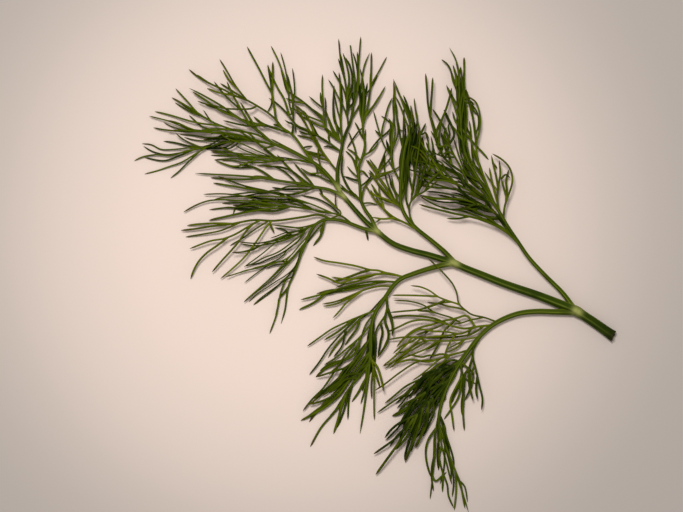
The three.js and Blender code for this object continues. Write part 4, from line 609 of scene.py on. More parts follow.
# %% Finer threads of the far end
FINER.update({
    "main_stalk": [
        [-5.9, 50, -4.9, 55, -5.2, 59, -6.2, 62.4], [-5, 51.5, -4.8, 54.8, -4.7, 58.6, -5, 62.6],
        [-6.6, 44, -4.4, 47.6, -2.8, 51]],
    "top_left_spray": [
        [-10.1, 39.5, -11.1, 43.3, -11.5, 47.1], [-9.7, 44.6, -9.2, 49, -9.6, 53.4],
        [-9.6, 43, -10.6, 46.6, -11.3, 50.4]],
    "top_mid_spray": [
        [-7.4, 43.6, -8.8, 47.1, -10.1, 49.4, -11.6, 52.5, -13.1, 54.8],
        [-7.4, 45.6, -8, 49.2, -9, 52.5, -10.3, 54.8, -11.8, 57.3],
        [-7.9, 51.7, -8.5, 54.8, -9.6, 58.6, -10.3, 60.7], [-7, 50, -6.4, 53.4, -6.7, 57.6, -8.2, 61],
        [-8.4, 54.4, -9.2, 59.4, -9.6, 61.9], [-7.6, 47.6, -6.6, 51.6, -6.4, 56, -7.4, 60]],
    "branch_spray": [
        [-14.9, 35.2, -16, 37.1, -18.5, 38.5, -20.4, 38.9, -21.8, 39.3],
        [-15.6, 36.4, -18.2, 39.9, -20.7, 41, -22.6, 42.2],
        [-15.8, 36.8, -19, 41.6, -20.7, 44.4, -22.3, 46], [-16.6, 37.8, -17.9, 42.1, -19.4, 45.6],
        [-12.4, 31.6, -14.7, 34.6, -16.4, 37.6, -17.2, 40.4, -18.6, 43.6, -20, 46.2],
        [-15.6, 36, -15.9, 33.8, -15.4, 31.2, -14.8, 29.6],
        [-13, 32.2, -14.9, 32.6, -17.4, 33.6, -19.6, 35, -21.4, 36.9], [-14, 33.6, -17, 34.2, -19.4, 34.9]],
    "mid_left_spray": [
        [-10, 37.6, -12, 41.5, -12.8, 43.5, -13.8, 45.5], [-10.2, 37.8, -10.5, 40, -11.2, 43.5],
        [-13.7, 41.4, -13.9, 45.5, -13.8, 48, -14, 50], [-14.6, 47.6, -15, 48.5, -15.3, 51.3],
        [-14.5, 44.5, -16.5, 45.8, -18.6, 47.2], [-12.4, 40, -13, 38.5, -12.4, 37],
        [-19, 44.7, -21, 46.6, -22.5, 47.8], [-20, 48.3, -22.4, 48.6, -25, 49.6],
        [-9.5, 37.6, -11.6, 40, -12.8, 42.6, -13.6, 46],
        [-9.4, 37.2, -11.8, 38.9, -13.8, 40.9, -14.3, 43.4],
        [-14, 41.4, -16, 42.1, -18, 43.2, -20.6, 44.6], [-9.3, 38.4, -10.6, 41, -11.4, 44, -11.6, 46.6]],
    "inner_feather_spray": [
        [-12, 36.5, -13.5, 37.4, -15.1, 38.4, -16, 39.1, -16.9, 40.9, -17.6, 42, -18.3, 43.5],
        [-10, 35, -12, 35.8, -13.5, 36.2, -14.5, 35.9], [-22.8, 42.2, -22.2, 40],
        [-24, 44.4, -25.5, 49.5, -27, 52, -28.5, 55, -30.1, 58.6],
        [-23, 46, -23.7, 44.8, -24.7, 45.5, -26.3, 46.9], [-24.1, 50.9, -24.9, 52.3, -25.6, 55, -26.4, 58],
        [-22.8, 46.5, -23.2, 50.5, -23.9, 53.4, -24.6, 56.4], [-17, 39.6, -19.4, 39.6, -21.4, 40.4]],
    "middle_feather_spray": [
        [-23.3, 39.4, -23, 42.3, -24, 42.6, -25.2, 43.4], [-26.4, 41.6, -28.5, 42.4],
        [-18.4, 33, -17, 34, -15, 33.3], [-19.6, 34.9, -20, 35.6, -17.5, 36.3],
        [-28.6, 50, -29, 47.6, -30.2, 45.6], [-27, 41, -30.5, 42, -32, 42.8, -34, 44.5],
        [-31, 41.8, -35, 42.9, -38.4, 44], [-28.8, 52, -29.4, 55.6, -30, 59]],
    "outer_feather_spray": [
        [-47, 54, -49.8, 56.2], [-36.3, 49, -39.6, 51.4, -43.3, 53.8], [-39.6, 50.3, -43.4, 51, -47, 52.4],
        [-33, 47.4, -34.4, 46.6, -41.7, 46.6, -44.5, 47.3, -47, 47.8, -49.7, 48.8],
        [-38.2, 52, -40.8, 54.6, -42.6, 57.6]],
    "far_stalk": [
        [-12.6, 26.8, -14.4, 28.4, -16.1, 30.2, -17.6, 31.7, -20.4, 33.5, -24.7, 35.8, -29.2, 38.2],
        [-11, 25.6, -14, 26.9, -15.7, 27.8, -18.5, 28.2],
        [-13.6, 28.2, -16.3, 28.6, -18, 28.5, -19.3, 28.9, -20.8, 30],
        [-35.8, 42.6, -39.4, 44.9, -41.7, 45.8, -47.5, 47.8], [-38, 44, -43, 46, -48, 49.4, -51, 51.4],
        [-33, 41, -35.6, 45, -37.6, 48.4], [-30.4, 38.6, -34, 41.4, -36.8, 44.8]],
    "far_upper_spray": [
        [-43, 42, -45.5, 42.9, -48.1, 46.4], [-47.5, 43.6, -52.1, 46.6, -55, 48.8],
        [-48.8, 44.2, -51.1, 45.5, -56, 48.4], [-46, 41, -52.1, 40.4, -57.2, 41.8, -59.2, 42.9],
        [-40, 40.9, -47.5, 41.2, -52.1, 44.9], [-38, 40.2, -44.5, 41, -50.6, 40.5, -55, 42.2]],
    "far_band_spray": [
        [-48, 35.8, -52, 36.2, -55.7, 37.1, -59.2, 37.6],
        [-49, 35.6, -55, 34.2, -58.5, 33.8, -62.5, 34.8, -64.8, 36.2],
        [-51, 34.9, -55, 33.4, -59, 32.1, -64.5, 33],
        [-30, 36.8, -33, 37.4, -38, 37.7, -43, 37.4, -47, 37.6, -51, 38, -53.4, 38.7],
        [-29, 36.4, -35, 38.4, -40, 39.6, -46, 40, -50, 40.2, -53.5, 40.6, -58, 40.4],
        [-31, 37, -36, 38, -41, 38.6, -47, 38.6, -51, 39.2, -54.6, 39.5],
        [-33, 37.5, -38, 38.8, -43, 39.6, -48.6, 40.2, -52, 41.2, -55, 42.6, -58, 43.4],
        [-41.5, 39.8, -43.6, 38, -46, 36.6, -48.6, 36], [-41, 38, -43.4, 36.9, -45.6, 36.2, -48.4, 35.9],
        [-38, 37.6, -41, 37.2, -44, 36.2, -47, 35.2],
        [-29, 34.4, -31, 35.6, -33, 37.4, -34.6, 39.2, -37, 40.4, -40.5, 41],
        [-31, 37.2, -34, 37.9, -37, 39, -40, 38.6, -43, 40.2, -46, 39.4],
        [-33, 37.6, -36.5, 38.6, -39, 38.2, -42, 39.4, -45, 38.4, -48.8, 38.9]],
    "near_band_spray": [
        [-16.4, 30.6, -20.6, 32, -24.6, 32.8, -29, 33.2, -34, 33.9],
        [-14.4, 28, -16.2, 28.4, -18.8, 28.8, -20.7, 30.1],
        [-27, 32.2, -32, 33.4, -37, 34, -42, 34.6, -46, 35],
        [-28, 32.4, -34, 33.2, -39, 33.4, -44, 33.6, -46, 33.7],
        [-25, 31, -28.6, 33.1, -32.2, 34.5, -35.4, 36, -38.6, 37.3, -42.2, 38.8, -44.2, 41.3],
        [-26.6, 32.3, -29.8, 34.7, -33, 37.1, -36.6, 39.5, -39.4, 41.1],
        [-29, 32.2, -34, 32.4, -40, 32.7, -45, 32.4], [-31, 32.2, -36, 33.2, -40.4, 34.6, -43.6, 36],
        [-33, 34, -37, 35.2, -39.6, 36.8],
        [-27, 31.8, -31, 31.6, -34, 31.5, -37, 31.6, -40, 32.2, -43, 32.2],
        [-25, 32.4, -28, 33.2, -30, 34.6, -31.4, 35.6]],
    "low_stalk": [
        [-18, 24.6, -21, 24.9, -24.5, 24.9, -27, 24, -30, 23.7],
        [-18.8, 25.6, -22, 26, -25, 26.2, -28.5, 27, -31, 27.6, -34, 27.9],
        [-28.6, 27.2, -31, 28.8, -34, 30.3, -38, 31.2], [-20, 23.9, -22, 23, -25, 22.4],
        [-11, 23.8, -11.1, 22], [-16, 24, -14.5, 22.3],
        [-19.2, 25.1, -21.1, 27.2, -23.8, 29.8, -25.5, 31.6, -27.4, 33.8],
        [-17, 24.8, -18.2, 26.4, -20.5, 29, -22.7, 31.5],
        [-21, 25, -22.8, 26.8, -24.9, 28.7, -27.4, 30.2, -30.5, 30.8, -33, 30.8],
        [-32, 27.3, -37, 26.8, -41, 27, -46, 27.4], [-34, 30.3, -39, 30.2, -44, 31.8]],
})
print("finer threads in all:", sum(len(routes) for routes in FINER.values()))

# %% [markdown]
# ## Tufts
#
# In the thick of the leaf the threads can't be told apart: dozens run side by side and cross at small
# angles. Drawing each one by hand would be endless, and scattering them at random would blur the
# shape. So a tuft is drawn by its two edges, which are listed routes again, and its threads
# wander between them. The last number is how many threads it has.

# %% Tufts of the right side stalks
TUFTS = {
    "right_1_stalk": [
        ([24.6, 32, 23.4, 38, 23, 44, 22.8, 50, 22.6, 56],
         [26, 32, 25.4, 38, 25.4, 44, 25.2, 50, 24.6, 56], 20),
        ([33, 20, 29, 24, 26, 27.4, 24, 32], [32, 21.6, 30, 25.4, 27.6, 29, 25.8, 33], 8)],
    "right_1_arch_spray": [
        ([30.5, 26, 28.6, 30, 27.6, 34, 27.4, 38], [28.6, 27, 26.8, 30.6, 25.8, 35, 25.6, 40], 2)],
    "right_1_tall_spray": [
        ([22, 34, 20.6, 37, 20, 40], [18, 34, 16.8, 37.4, 16.4, 41], 3)],
    "right_1_fan_spray": [
        ([27, 27, 23, 29.6, 18, 32.4, 13, 35.6], [26, 23.6, 21, 25.4, 16, 26.6, 11, 28.4], 7)],
    "right_1_low_spray": [
        ([34, 19.5, 30, 22.6, 26, 25.6, 22, 28.4], [35.6, 15, 31, 16.6, 26.6, 18.4, 21, 21], 24)],
    "right_1_under_spray": [
        ([40.5, 9.4, 36, 15.4, 33.6, 18.4], [38.6, 9.6, 34.6, 13, 30.4, 15.6], 3)],
    "right_2_stalk": [
        ([6.6, 20, 6.8, 26, 7, 32, 8, 38, 8.2, 43], [8.8, 20, 9.2, 26, 9.8, 32, 11.8, 38, 11.8, 43], 26)],
    "right_2_bend_spray": [
        ([9.4, 28, 9.6, 33, 10, 38, 10, 42], [14, 29, 14, 33, 13.4, 38, 12, 41], 12)],
    "right_2_left_spray": [
        ([6, 30, 5.4, 35, 5, 40, 4.6, 45], [4.4, 33, 3.4, 36, 2.6, 39, 2.4, 42], 3)],
    "right_2_web_spray": [
        ([7, 20, 4.6, 23, 2.6, 26, 0.8, 29], [6.4, 19, 2.4, 21.4, -0.4, 23.6, -2.4, 26], 1)],
    "right_3_stalk": [
        ([-4.2, 38, -4, 44, -4.4, 50, -4.6, 55], [-3, 38, -2.4, 44, -2, 50, -1.6, 56], 4)],
}
print("tufts so far:", sum(len(tufts) for tufts in TUFTS.values()))

# %% Tufts of the left side stalks and of the far end
TUFTS.update({
    "left_1_bottom_spray": [
        ([24, -23.5, 17, -26, 13, -28.6, 10.6, -33], [23, -26, 19.6, -31, 17.4, -36, 15, -40], 20),
        ([13, -33, 9.6, -37, 7.4, -41.4, 5, -46], [17, -36, 14.6, -40, 13.4, -44, 11.4, -48.6], 14)],
    "left_1_dense_spray": [
        ([18, -26.4, 14, -29.4, 10.6, -32, 8, -34.8], [18.6, -30, 14.6, -33.4, 11, -36.4, 7.6, -39], 6)],
    "left_1_side_spray": [
        ([27.4, -20.6, 27.6, -25, 28.4, -30, 29, -34.4],
         [25, -23.6, 24.4, -28.6, 23.4, -33.6, 23, -38.6], 1)],
    "left_1_stalk": [
        ([19.2, -39, 20, -45, 21.6, -51, 22.6, -57], [17.2, -40, 16.2, -46, 15.8, -52, 16, -58], 7)],
    "left_2_brush_spray_5": [
        ([-3, -22, -7, -25, -10, -28, -13.6, -32], [-1, -24, -4.4, -28, -7.6, -31.6, -10.6, -35.4], 2)],
    "left_2_stalk": [
        ([-0.4, -10, -2, -16, -2, -22, -2.4, -28], [1, -10, 0.4, -16, 0, -22, -0.4, -28], 14)],
    "left_3_band_spray": [
        ([-15, 20.4, -20, 22.4, -27, 23.2, -34, 23.4, -41, 22.8],
         [-16, 17, -22, 17.4, -28, 18, -35, 18.8, -42, 19], 8)],
    "far_band_spray": [
        ([-30, 37.6, -36, 39.4, -42, 39.6, -48, 38.8, -54, 37.4],
         [-28, 33, -34, 33.2, -40, 33.8, -46, 34, -52, 33.6], 4)],
    "low_stalk": [
        ([-17, 25.2, -24, 27, -31, 28.6, -38, 30], [-16, 24.4, -23, 23.4, -31, 24, -39, 26], 1)],
    "top_mid_spray": [
        ([-7.6, 42, -8.8, 47, -9.4, 52, -10, 57], [-6.2, 43, -5.6, 49, -5.2, 55, -5, 60], 2)],
})
print("threads in tufts:", sum(count for tufts in TUFTS.values() for _, _, count in tufts))

# %% [markdown]
# ## Smooth paths
#
# A route's few points become a smooth path. A Bezier curve would need handles for every point. A
# Catmull-Rom curve runs through its points by itself, and its centripetal form makes no loops
# where two points are close, so it is used here, and cut into even steps along its length.

# %% A smooth path through points
SPAN_PARTS = 8  # pieces in which each stretch between two points is drawn first
FEWEST_STEPS = 8
SMALLEST_GAP = 1e-6  # keeps two equal points from dividing by nothing


def walked_along(path):
    """How far each place of a path is from its first one."""
    return np.concatenate([[0], np.cumsum(np.linalg.norm(np.diff(path, axis=0), axis=1))])


def even_steps(path, step):
    """The same path cut into even steps."""
    along = walked_along(path)
    count = max(FEWEST_STEPS, round(along[-1] / step))
    wanted = np.linspace(0, along[-1], count + 1)
    return np.column_stack([np.interp(wanted, along, path[:, k]) for k in range(path.shape[1])])


def smooth_path(points, step):
    """Places about one step apart on a smooth curve through the points."""
    points = np.asarray(points, float)
    ends = [2 * points[0] - points[1], *points, 2 * points[-1] - points[-2]]
    share = np.linspace(0, 1, SPAN_PARTS + 1)[:-1, None]
    fine = []
    for before, start, end, after in zip(ends, ends[1:], ends[2:], ends[3:]):
        gaps = [(before, start), (start, end), (end, after)]
        lead, span, trail = [math.sqrt(max(math.dist(a, b), SMALLEST_GAP)) for a, b in gaps]
        go = (start - before) / lead - (end - before) / (lead + span) + (end - start) / span
        come = (end - start) / span - (after - start) / (span + trail) + (after - end) / trail
        go, come = go * span, come * span
        fine.append(start + go * share + (3 * (end - start) - 2 * go - come) * share**2
                    + (2 * (start - end) + go + come) * share**3)
    return even_steps(np.vstack([*fine, points[-1:]]), step)


def pairs(flat):
    """A flat list of x, y, x, y as rows of points."""
    return np.array(flat, float).reshape(-1, 2)


print("a test path has", len(smooth_path(pairs([0, 0, 5, 1, 12, 0]), 0.8)), "places")

# %% [markdown]
# ## Laying the threads
#
# Threads that cross can't share one place. A physics simulation of hundreds of soft threads would
# be slow and never twice the same, so they are laid like pick-up sticks: a map of the table keeps
# how high the leaf already reaches, and each new strand climbs gently over what is there. The
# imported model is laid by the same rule, so both come out at the same heights.

# %% The height map, in millimetres
CELL = 0.35  # width of a cell
REACH = 75.0  # how far the map reaches to each side of its middle
height_map = np.zeros((round(2 * REACH / CELL) + 2,) * 2)


def footprint(x, y, radius):
    """The cells of the height map within a radius of a place: their window, and which of them."""
    low_x, high_x = [round((x + side * radius + REACH) / CELL) for side in (-1, 1)]
    low_y, high_y = [round((y + side * radius + REACH) / CELL) for side in (-1, 1)]
    across = np.arange(low_x, high_x + 1) * CELL - REACH - x
    up = np.arange(low_y, high_y + 1) * CELL - REACH - y
    inside = across[None, :] ** 2 + up[:, None] ** 2 < (radius + CELL / 2) ** 2
    return (slice(low_y, high_y + 1), slice(low_x, high_x + 1)), inside


def top_under(x, y, radius):
    """How high the leaf reaches under a round spot."""
    window, inside = footprint(x, y, radius)
    return float((height_map[window] * inside).max(initial=0))


def nearest_on(strands, x, y):
    """How far away the nearest point of some strands is on the table, the point, and its radius."""
    best = (math.inf, None, 0.0)
    for strand in strands:
        away = np.hypot(strand["path"][:, 0] - x, strand["path"][:, 1] - y)
        k = int(away.argmin())
        if away[k] < best[0]:
            best = (float(away[k]), strand["path"][k], float(strand["radius"][k]))
    return best


print("height map of", height_map.shape, "cells")

# %% Laying one strand
SAMPLE = 0.8  # distance between the places of a strand
ARCH_LENGTH = 25.0  # a shorter strand has a lower arch
CLEAR = 0.3  # gap kept over what lies below
SLOPE = 0.35  # how steeply a strand climbs to a crossing and comes down from it
RAMP = 2.5  # the climb sets in over this length, so that the root stays in its joint


def lay_strand(route, wide, heights, carriers):
    """A strand with its places and radii: from the root's height to the tip's, over what lies there."""
    root_height, arch, tip_height = heights
    flat = smooth_path(pairs(route), SAMPLE)
    share = np.linspace(0, 1, len(flat))
    length = (len(flat) - 1) * math.dist(flat[0], flat[1])
    radius = (wide[0] + (wide[1] - wide[0]) * share) / 2
    arch = arch * min(1.0, length / ARCH_LENGTH)
    natural = root_height + (tip_height - root_height) * share + arch * 4 * share * (1 - share)
    natural = np.maximum(natural, radius)
    needed = np.zeros(len(flat))
    free = False
    for k, (x, y) in enumerate(flat):
        if not free:
            away, _, thick = nearest_on(carriers, x, y)
            free = away > thick + radius[k] + CLEAR + 2 * CELL
        if free:
            top = top_under(x, y, radius[k] + CLEAR / 2)
            needed[k] = top + radius[k] + CLEAR if top > 0 else 0
    spacing = length / (len(flat) - 1)
    steps = np.arange(len(flat))
    height = natural.copy()
    for k in np.nonzero(needed > natural)[0]:
        away = np.maximum(0, np.abs(steps - k) * spacing - wide[0])
        height = np.maximum(height, needed[k] - SLOPE * away)
    height = natural + (height - natural) * np.minimum(1, steps * spacing / RAMP)
    return {"path": np.column_stack([flat, height]), "radius": radius}


def mark_laid(strand, carriers):
    """Raise the height map under a strand, except where it is still inside what carries it."""
    for (x, y, z), radius in zip(strand["path"], strand["radius"]):
        away, _, thick = nearest_on(carriers, x, y)
        if away < thick:
            continue
        window, inside = footprint(x, y, radius)
        patch = height_map[window]
        patch[inside] = np.maximum(patch[inside], z + radius)


print("a strand climbs", SLOPE, "mm in each mm, and stays", CLEAR, "mm clear of what it crosses")

# %% [markdown]
# ## Growing the leaf
#
# Each entry of the plan is grown in turn. First come its own routes, which the imported model also
# has, and which the next entries climb over. Then come its finer threads and its tufts. These only
# climb over what was there before them: in a real tuft the threads press into each other. `tint` is
# the range from which a strand's green is drawn later, at random for each thread. The tufts get the
# lowest range: that deeper green is painted shade, where the threads in the thick of the leaf shade
# each other.

# %% Threads between the two edges of a tuft
SEED = 11
chance = random.Random(SEED)
STARTS = (0.0, 0.5)  # where a thread starts, as a share of the tuft's length
SHARES = (0.36, 0.7)  # how much of that length it runs
DRIFTS = (-0.28, 0.28)  # how far it wanders from one edge toward the other
DRIFT_FROM = 0.3  # the share of the thread at which it has not wandered yet
BOWS = (-0.1, 0.1)  # how far its middle bends aside
STRAY = 0.04  # how far it may pass an edge
TUFT_POINTS = 5


def tuft_route(left, right):
    """A thread that runs between two edges: where it starts and ends is left to chance."""
    begin = chance.uniform(*STARTS)
    end = min(1.0, begin + chance.uniform(*SHARES))
    side = chance.random()
    drift = chance.uniform(*DRIFTS)
    bow = chance.uniform(*BOWS)
    route = []
    for k in range(TUFT_POINTS):
        share = k / (TUFT_POINTS - 1)
        along = begin + (end - begin) * share
        across = side + drift * (share - DRIFT_FROM) + bow * math.sin(math.pi * share)
        across = min(1 + STRAY, max(-STRAY, across))
        first, second = [np.array([np.interp(along, np.linspace(0, 1, len(edge)), edge[:, axis])
                                   for axis in (0, 1)]) for edge in (left, right)]
        route.extend(first * (1 - across) + second * across)
    return route


print("a tuft's thread covers", SHARES[0], "to", SHARES[1], "of its length")

# %% One entry of the plan
THREAD = (0.62, 0.3)  # width of a thread at root and tip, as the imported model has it
TIP_SPREAD, TIP_TURN = 0.5, 2.4  # the tips of one entry go up and down by this, and this fast
LOWEST_TIP = 0.3  # height over the table of the tip of a finer thread
TIP_SHARES, ARCH_SHARES = (0.1, 0.9), (0.2, 1.0)  # heights of a finer thread, as shares of the entry's
RECENT = 12  # a finer thread may start on one of this many threads before it
# The tufts' low tint range is painted shade: threads in the thick of the leaf shade each other.
OWN_TINT, FINER_TINT, TUFT_SHADED_TINT = (0.35, 1.0), (0.2, 0.9), (0.0, 0.45)
laid = {}


def rooted(route, strands):
    """The route moved to start on the nearest of some strands, and the height there."""
    _, root, _ = nearest_on(strands, route[0], route[1])
    return [root[0], root[1], *route[2:]], root[2]


def grow(name, entry):
    """All the strands of one entry, in the order in which they lie."""
    carriers = laid[entry["from"]] if entry["from"] else []
    root_height, arch, tip_height = entry["high"]
    strands = []
    for index, route in enumerate(entry["routes"]):
        over = [*carriers, *strands]
        if index > 0:
            route, root_height = rooted(route, strands)
        elif carriers:
            route, root_height = rooted(route, carriers)
        wide = entry["wide"] if index == 0 and entry["wide"] else THREAD
        tip = tip_height + TIP_SPREAD * math.sin(index * TIP_TURN)
        strands.append(lay_strand(route, wide, (root_height, arch, tip), over))
        strands[-1]["tint"] = OWN_TINT
    laid[name] = list(strands)
    finer = [(route, FINER_TINT) for route in FINER.get(name, [])]
    for left, right, count in TUFTS.get(name, []):
        edges = [smooth_path(pairs(edge), SAMPLE) for edge in (left, right)]
        finer.extend((tuft_route(*edges), TUFT_SHADED_TINT) for _ in range(count))
    extra = []
    for route, tint in finer:
        route, root_height = rooted(route, [*strands, *extra[-RECENT:]])
        tip = max(LOWEST_TIP, tip_height * chance.uniform(*TIP_SHARES))
        heights = (root_height, arch * chance.uniform(*ARCH_SHARES), tip)
        extra.append(lay_strand(route, THREAD, heights, [*carriers, *strands]))
        extra[-1]["tint"] = tint
    for strand in strands:
        mark_laid(strand, carriers)
    return [*strands, *extra]


print("a thread is laid", THREAD[0], "mm wide at its root and", THREAD[1], "mm at its tip")

# %% The whole leaf
grown = {name: grow(name, entry) for name, entry in {**STALKS, **SPRAYS}.items()}
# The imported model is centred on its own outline, and the plan's zero lies this far beside that, in mm.
shift = np.array([-0.01, -0.23, 0.0])
print("strands:", sum(len(strands) for strands in grown.values()))
print("highest point in mm:", round(max(s["path"][:, 2].max() for g in grown.values() for s in g), 1))

# %% [markdown]
# ## Colours
#
# Fresh dill runs from deep green to olive and yellow-green from thread to thread, with pale swollen
# joints and tips that dry to brown. The deepest greens also stand for shade, painted where threads
# lie thick. The colours are written as the familiar web colours, and turned here into the linear
# values that shaders use.

# %% Paint from web colours
def paint(code):
    """A web colour as linear red, green, blue and alpha."""
    parts = [int(code[k:k + 2], 16) / 255 for k in (0, 2, 4)]
    return (*[p / 12.92 if p <= 0.04045 else ((p + 0.055) / 1.055) ** 2.4 for p in parts], 1.0)


TIP_BROWN, THREAD_JOINT = paint("4a3f12"), paint("84903a")
STALK_SHADE, STALK_JOINT, CUT_BROWN = paint("101d00"), paint("9c9f58"), paint("2c2a0a")
print("brown of a dry tip:", [round(v, 3) for v in TIP_BROWN])

# %% [markdown]
# ## A node group for living tissue
#
# Every green surface of the leaf has the same two effects: soft patches where the green is lighter or
# darker, and a fine grain that the light catches. Painting them into each material again would be
# four copies of one idea, so they are one node group with named inputs. It gives out a colour and a
# height, and each material decides what to do with them.

# %% Small helpers for node trees
def link(tree, source, socket, target, name):
    """Link an output of one node to an input of another."""
    tree.links.new(source.outputs[socket], target.inputs[name])


def feed(tree, given, socket):
    """Give a socket what it needs: a (node, output) pair is linked, and a constant is set on it."""
    if isinstance(given, tuple) and isinstance(given[0], bpy.types.Node):
        tree.links.new(given[0].outputs[given[1]], socket)
    else:
        socket.default_value = given


def mixed(tree, factor, first, second):
    """The output of a Mix Color node. Each of its inputs is a (node, output) pair or a constant."""
    node = tree.nodes.new("ShaderNodeMix")
    node.data_type = "RGBA"
    for name, given in (("Factor", factor), ("A", first), ("B", second)):
        feed(tree, given, next(s for s in node.inputs if s.name == name and s.enabled))
    return node, next(k for k, s in enumerate(node.outputs) if s.enabled)


def ramp(tree, value, low, high, most=1.0):
    """A mask that rises smoothly from 0 to `most` as a value goes from low to high."""
    node = tree.nodes.new("ShaderNodeMapRange")
    node.interpolation_type = "SMOOTHSTEP"
    node.inputs["From Min"].default_value = low
    node.inputs["From Max"].default_value = high
    feed(tree, value, node.inputs["Value"])
    feed(tree, most, node.inputs["To Max"])
    return node, 0


print("helpers for node trees:", link.__name__, feed.__name__, mixed.__name__, ramp.__name__)

# %% The tissue group
PATCH_LIGHTER, PATCH_DARKER = (0.5, 0.72), (0.5, 0.3)  # noise values where a patch starts and is full


def tissue_group():
    """A node group that gives a green its patches and its grain."""
    group = bpy.data.node_groups.new("Living tissue", "ShaderNodeTree")
    for name, kind in (("Colour", "NodeSocketColor"), ("Lighter", "NodeSocketColor"),
                       ("Darker", "NodeSocketColor"), ("Patch size", "NodeSocketFloat"),
                       ("Patch strength", "NodeSocketFloat"), ("Grain size", "NodeSocketFloat")):
        group.interface.new_socket(name, in_out="INPUT", socket_type=kind)
    group.interface.new_socket("Colour", in_out="OUTPUT", socket_type="NodeSocketColor")
    group.interface.new_socket("Height", in_out="OUTPUT", socket_type="NodeSocketFloat")
    given, made = group.nodes.new("NodeGroupInput"), group.nodes.new("NodeGroupOutput")
    place = group.nodes.new("ShaderNodeTexCoord")
    patches, grain = [group.nodes.new("ShaderNodeTexNoise") for _ in range(2)]
    for noise, size, detail in ((patches, "Patch size", 2.0), (grain, "Grain size", 3.0)):
        scale = group.nodes.new("ShaderNodeMath")
        scale.operation = "DIVIDE"
        scale.inputs[0].default_value = 1.0
        link(group, given, size, scale, 1)
        link(group, place, "Object", noise, "Vector")
        link(group, scale, 0, noise, "Scale")
        noise.inputs["Detail"].default_value = detail
    bright_spots, dim_spots = [ramp(group, (patches, "Fac"), *span, (given, "Patch strength"))
                               for span in (PATCH_LIGHTER, PATCH_DARKER)]
    light = mixed(group, bright_spots, (given, "Colour"), (given, "Lighter"))
    feed(group, mixed(group, dim_spots, light, (given, "Darker")), made.inputs["Colour"])
    link(group, grain, "Fac", made, "Height")
    return group


tissue = tissue_group()
print("inputs of the tissue group:", [s.name for s in tissue.interface.items_tree if s.in_out == "INPUT"])

# %% [markdown]
# ## The thread materials
#
# A thread of dill is pale where it leaves its joint, green along its length, and often browned at its
# last millimetre. The paths know where root and tip are, so each vertex carries `along`, from 0 at
# the root to 1 at the tip, and `pale`, which is highest in a joint and 0 away from it. `tint` is one
# number for each thread, so that neighbours differ a little as real ones do. In the tufts and the
# densest sprays it is lower: painted shade, where the threads shade each other.

# %% What the materials share
GRAIN_RELIEF = 0.05 * MM


def attribute(tree, name):
    """One of the numbers that the vertices carry."""
    node = tree.nodes.new("ShaderNodeAttribute")
    node.attribute_name = name
    return node, "Fac"


def new_material(name, roughness, specular):
    """A new material, its node tree and its shader."""
    material = bpy.data.materials.new(name)
    material.use_nodes = True
    shader = material.node_tree.nodes["Principled BSDF"]
    shader.inputs["Roughness"].default_value = roughness
    shader.inputs["Specular IOR Level"].default_value = specular
    return material, material.node_tree, shader


def in_tissue(tree, shader, colours, patch, strength, grain, bump):
    """Run three colours through the tissue group, and bump the shader with its height."""
    node = tree.nodes.new("ShaderNodeGroup")
    node.node_tree = tissue
    sizes = (("Patch size", patch), ("Patch strength", strength), ("Grain size", grain))
    for name, given in (*zip(("Colour", "Lighter", "Darker"), colours), *sizes):
        feed(tree, given, node.inputs[name])
    relief = tree.nodes.new("ShaderNodeBump")
    relief.inputs["Strength"].default_value = bump
    relief.inputs["Distance"].default_value = GRAIN_RELIEF
    link(tree, node, "Height", relief, "Height")
    link(tree, relief, "Normal", shader, "Normal")
    return node, "Colour"


print("grain relief in mm:", GRAIN_RELIEF / MM)

# %% Materials of the threads
BROWN_TIP = (0.86, 1.0)  # shares of the length between which a thread turns brown


def thread_material(name, deep, bright, lighter, darker):
    """A green between deep and bright by each thread's tint, with a brown tip and a pale joint."""
    material, tree, shader = new_material(name, roughness=0.6, specular=0.03)
    green = mixed(tree, attribute(tree, "tint"), paint(deep), paint(bright))
    browned = mixed(tree, ramp(tree, attribute(tree, "along"), *BROWN_TIP), green, TIP_BROWN)
    alive = in_tissue(tree, shader, (browned, paint(lighter), paint(darker)),
                      patch=3.5 * MM, strength=0.3, grain=0.25 * MM, bump=0.4)
    feed(tree, mixed(tree, attribute(tree, "pale"), alive, THREAD_JOINT), shader.inputs["Base Color"])
    return material


# The deep end of each green is partly the colour of dark threads and partly painted shade for tufts.
leaf_green = thread_material("Leaf green", "0d1c01", "526104", "5f690b", "0a1601")
young_green = thread_material("Young leaf green", "2c3702", "66700a", "707510", "273002")
print("thread materials:", leaf_green.name, "and", young_green.name)

# %% [markdown]
# ## The stalk materials
#
# A stalk of dill is ribbed from end to end: strands of tough fibre stand out as paler lines, and the
# furrows between are deeper green. The ribs are real shape here, and each vertex also carries `rib`,
# so colour and shape agree. The cut end dries first, so it is darkened by `cut`.

# %% Materials of the stalks
RIDGE = (0.6, 1.0)  # values of `rib` between which furrow turns into pale ridge


def stalk_material(name, furrow, rib, lighter, darker):
    """A green with paler ribs, pale joints and a dried cut end."""
    material, tree, shader = new_material(name, roughness=0.5, specular=0.04)
    ribbed = mixed(tree, ramp(tree, attribute(tree, "rib"), *RIDGE), paint(furrow), paint(rib))
    fresh = mixed(tree, attribute(tree, "tint"), STALK_SHADE, ribbed)
    alive = in_tissue(tree, shader, (fresh, paint(lighter), paint(darker)),
                      patch=9 * MM, strength=0.8, grain=0.3 * MM, bump=0.5)
    jointed = mixed(tree, attribute(tree, "pale"), alive, STALK_JOINT)
    feed(tree, mixed(tree, attribute(tree, "cut"), jointed, CUT_BROWN), shader.inputs["Base Color"])
    return material


stalk_green = stalk_material("Stalk green", "2e3e02", "5a6620", "3c4a06", "263402")
side_green = stalk_material("Side stalk green", "3c4a04", "64701c", "4c580a", "344004")
print("stalk materials:", stalk_green.name, "and", side_green.name)

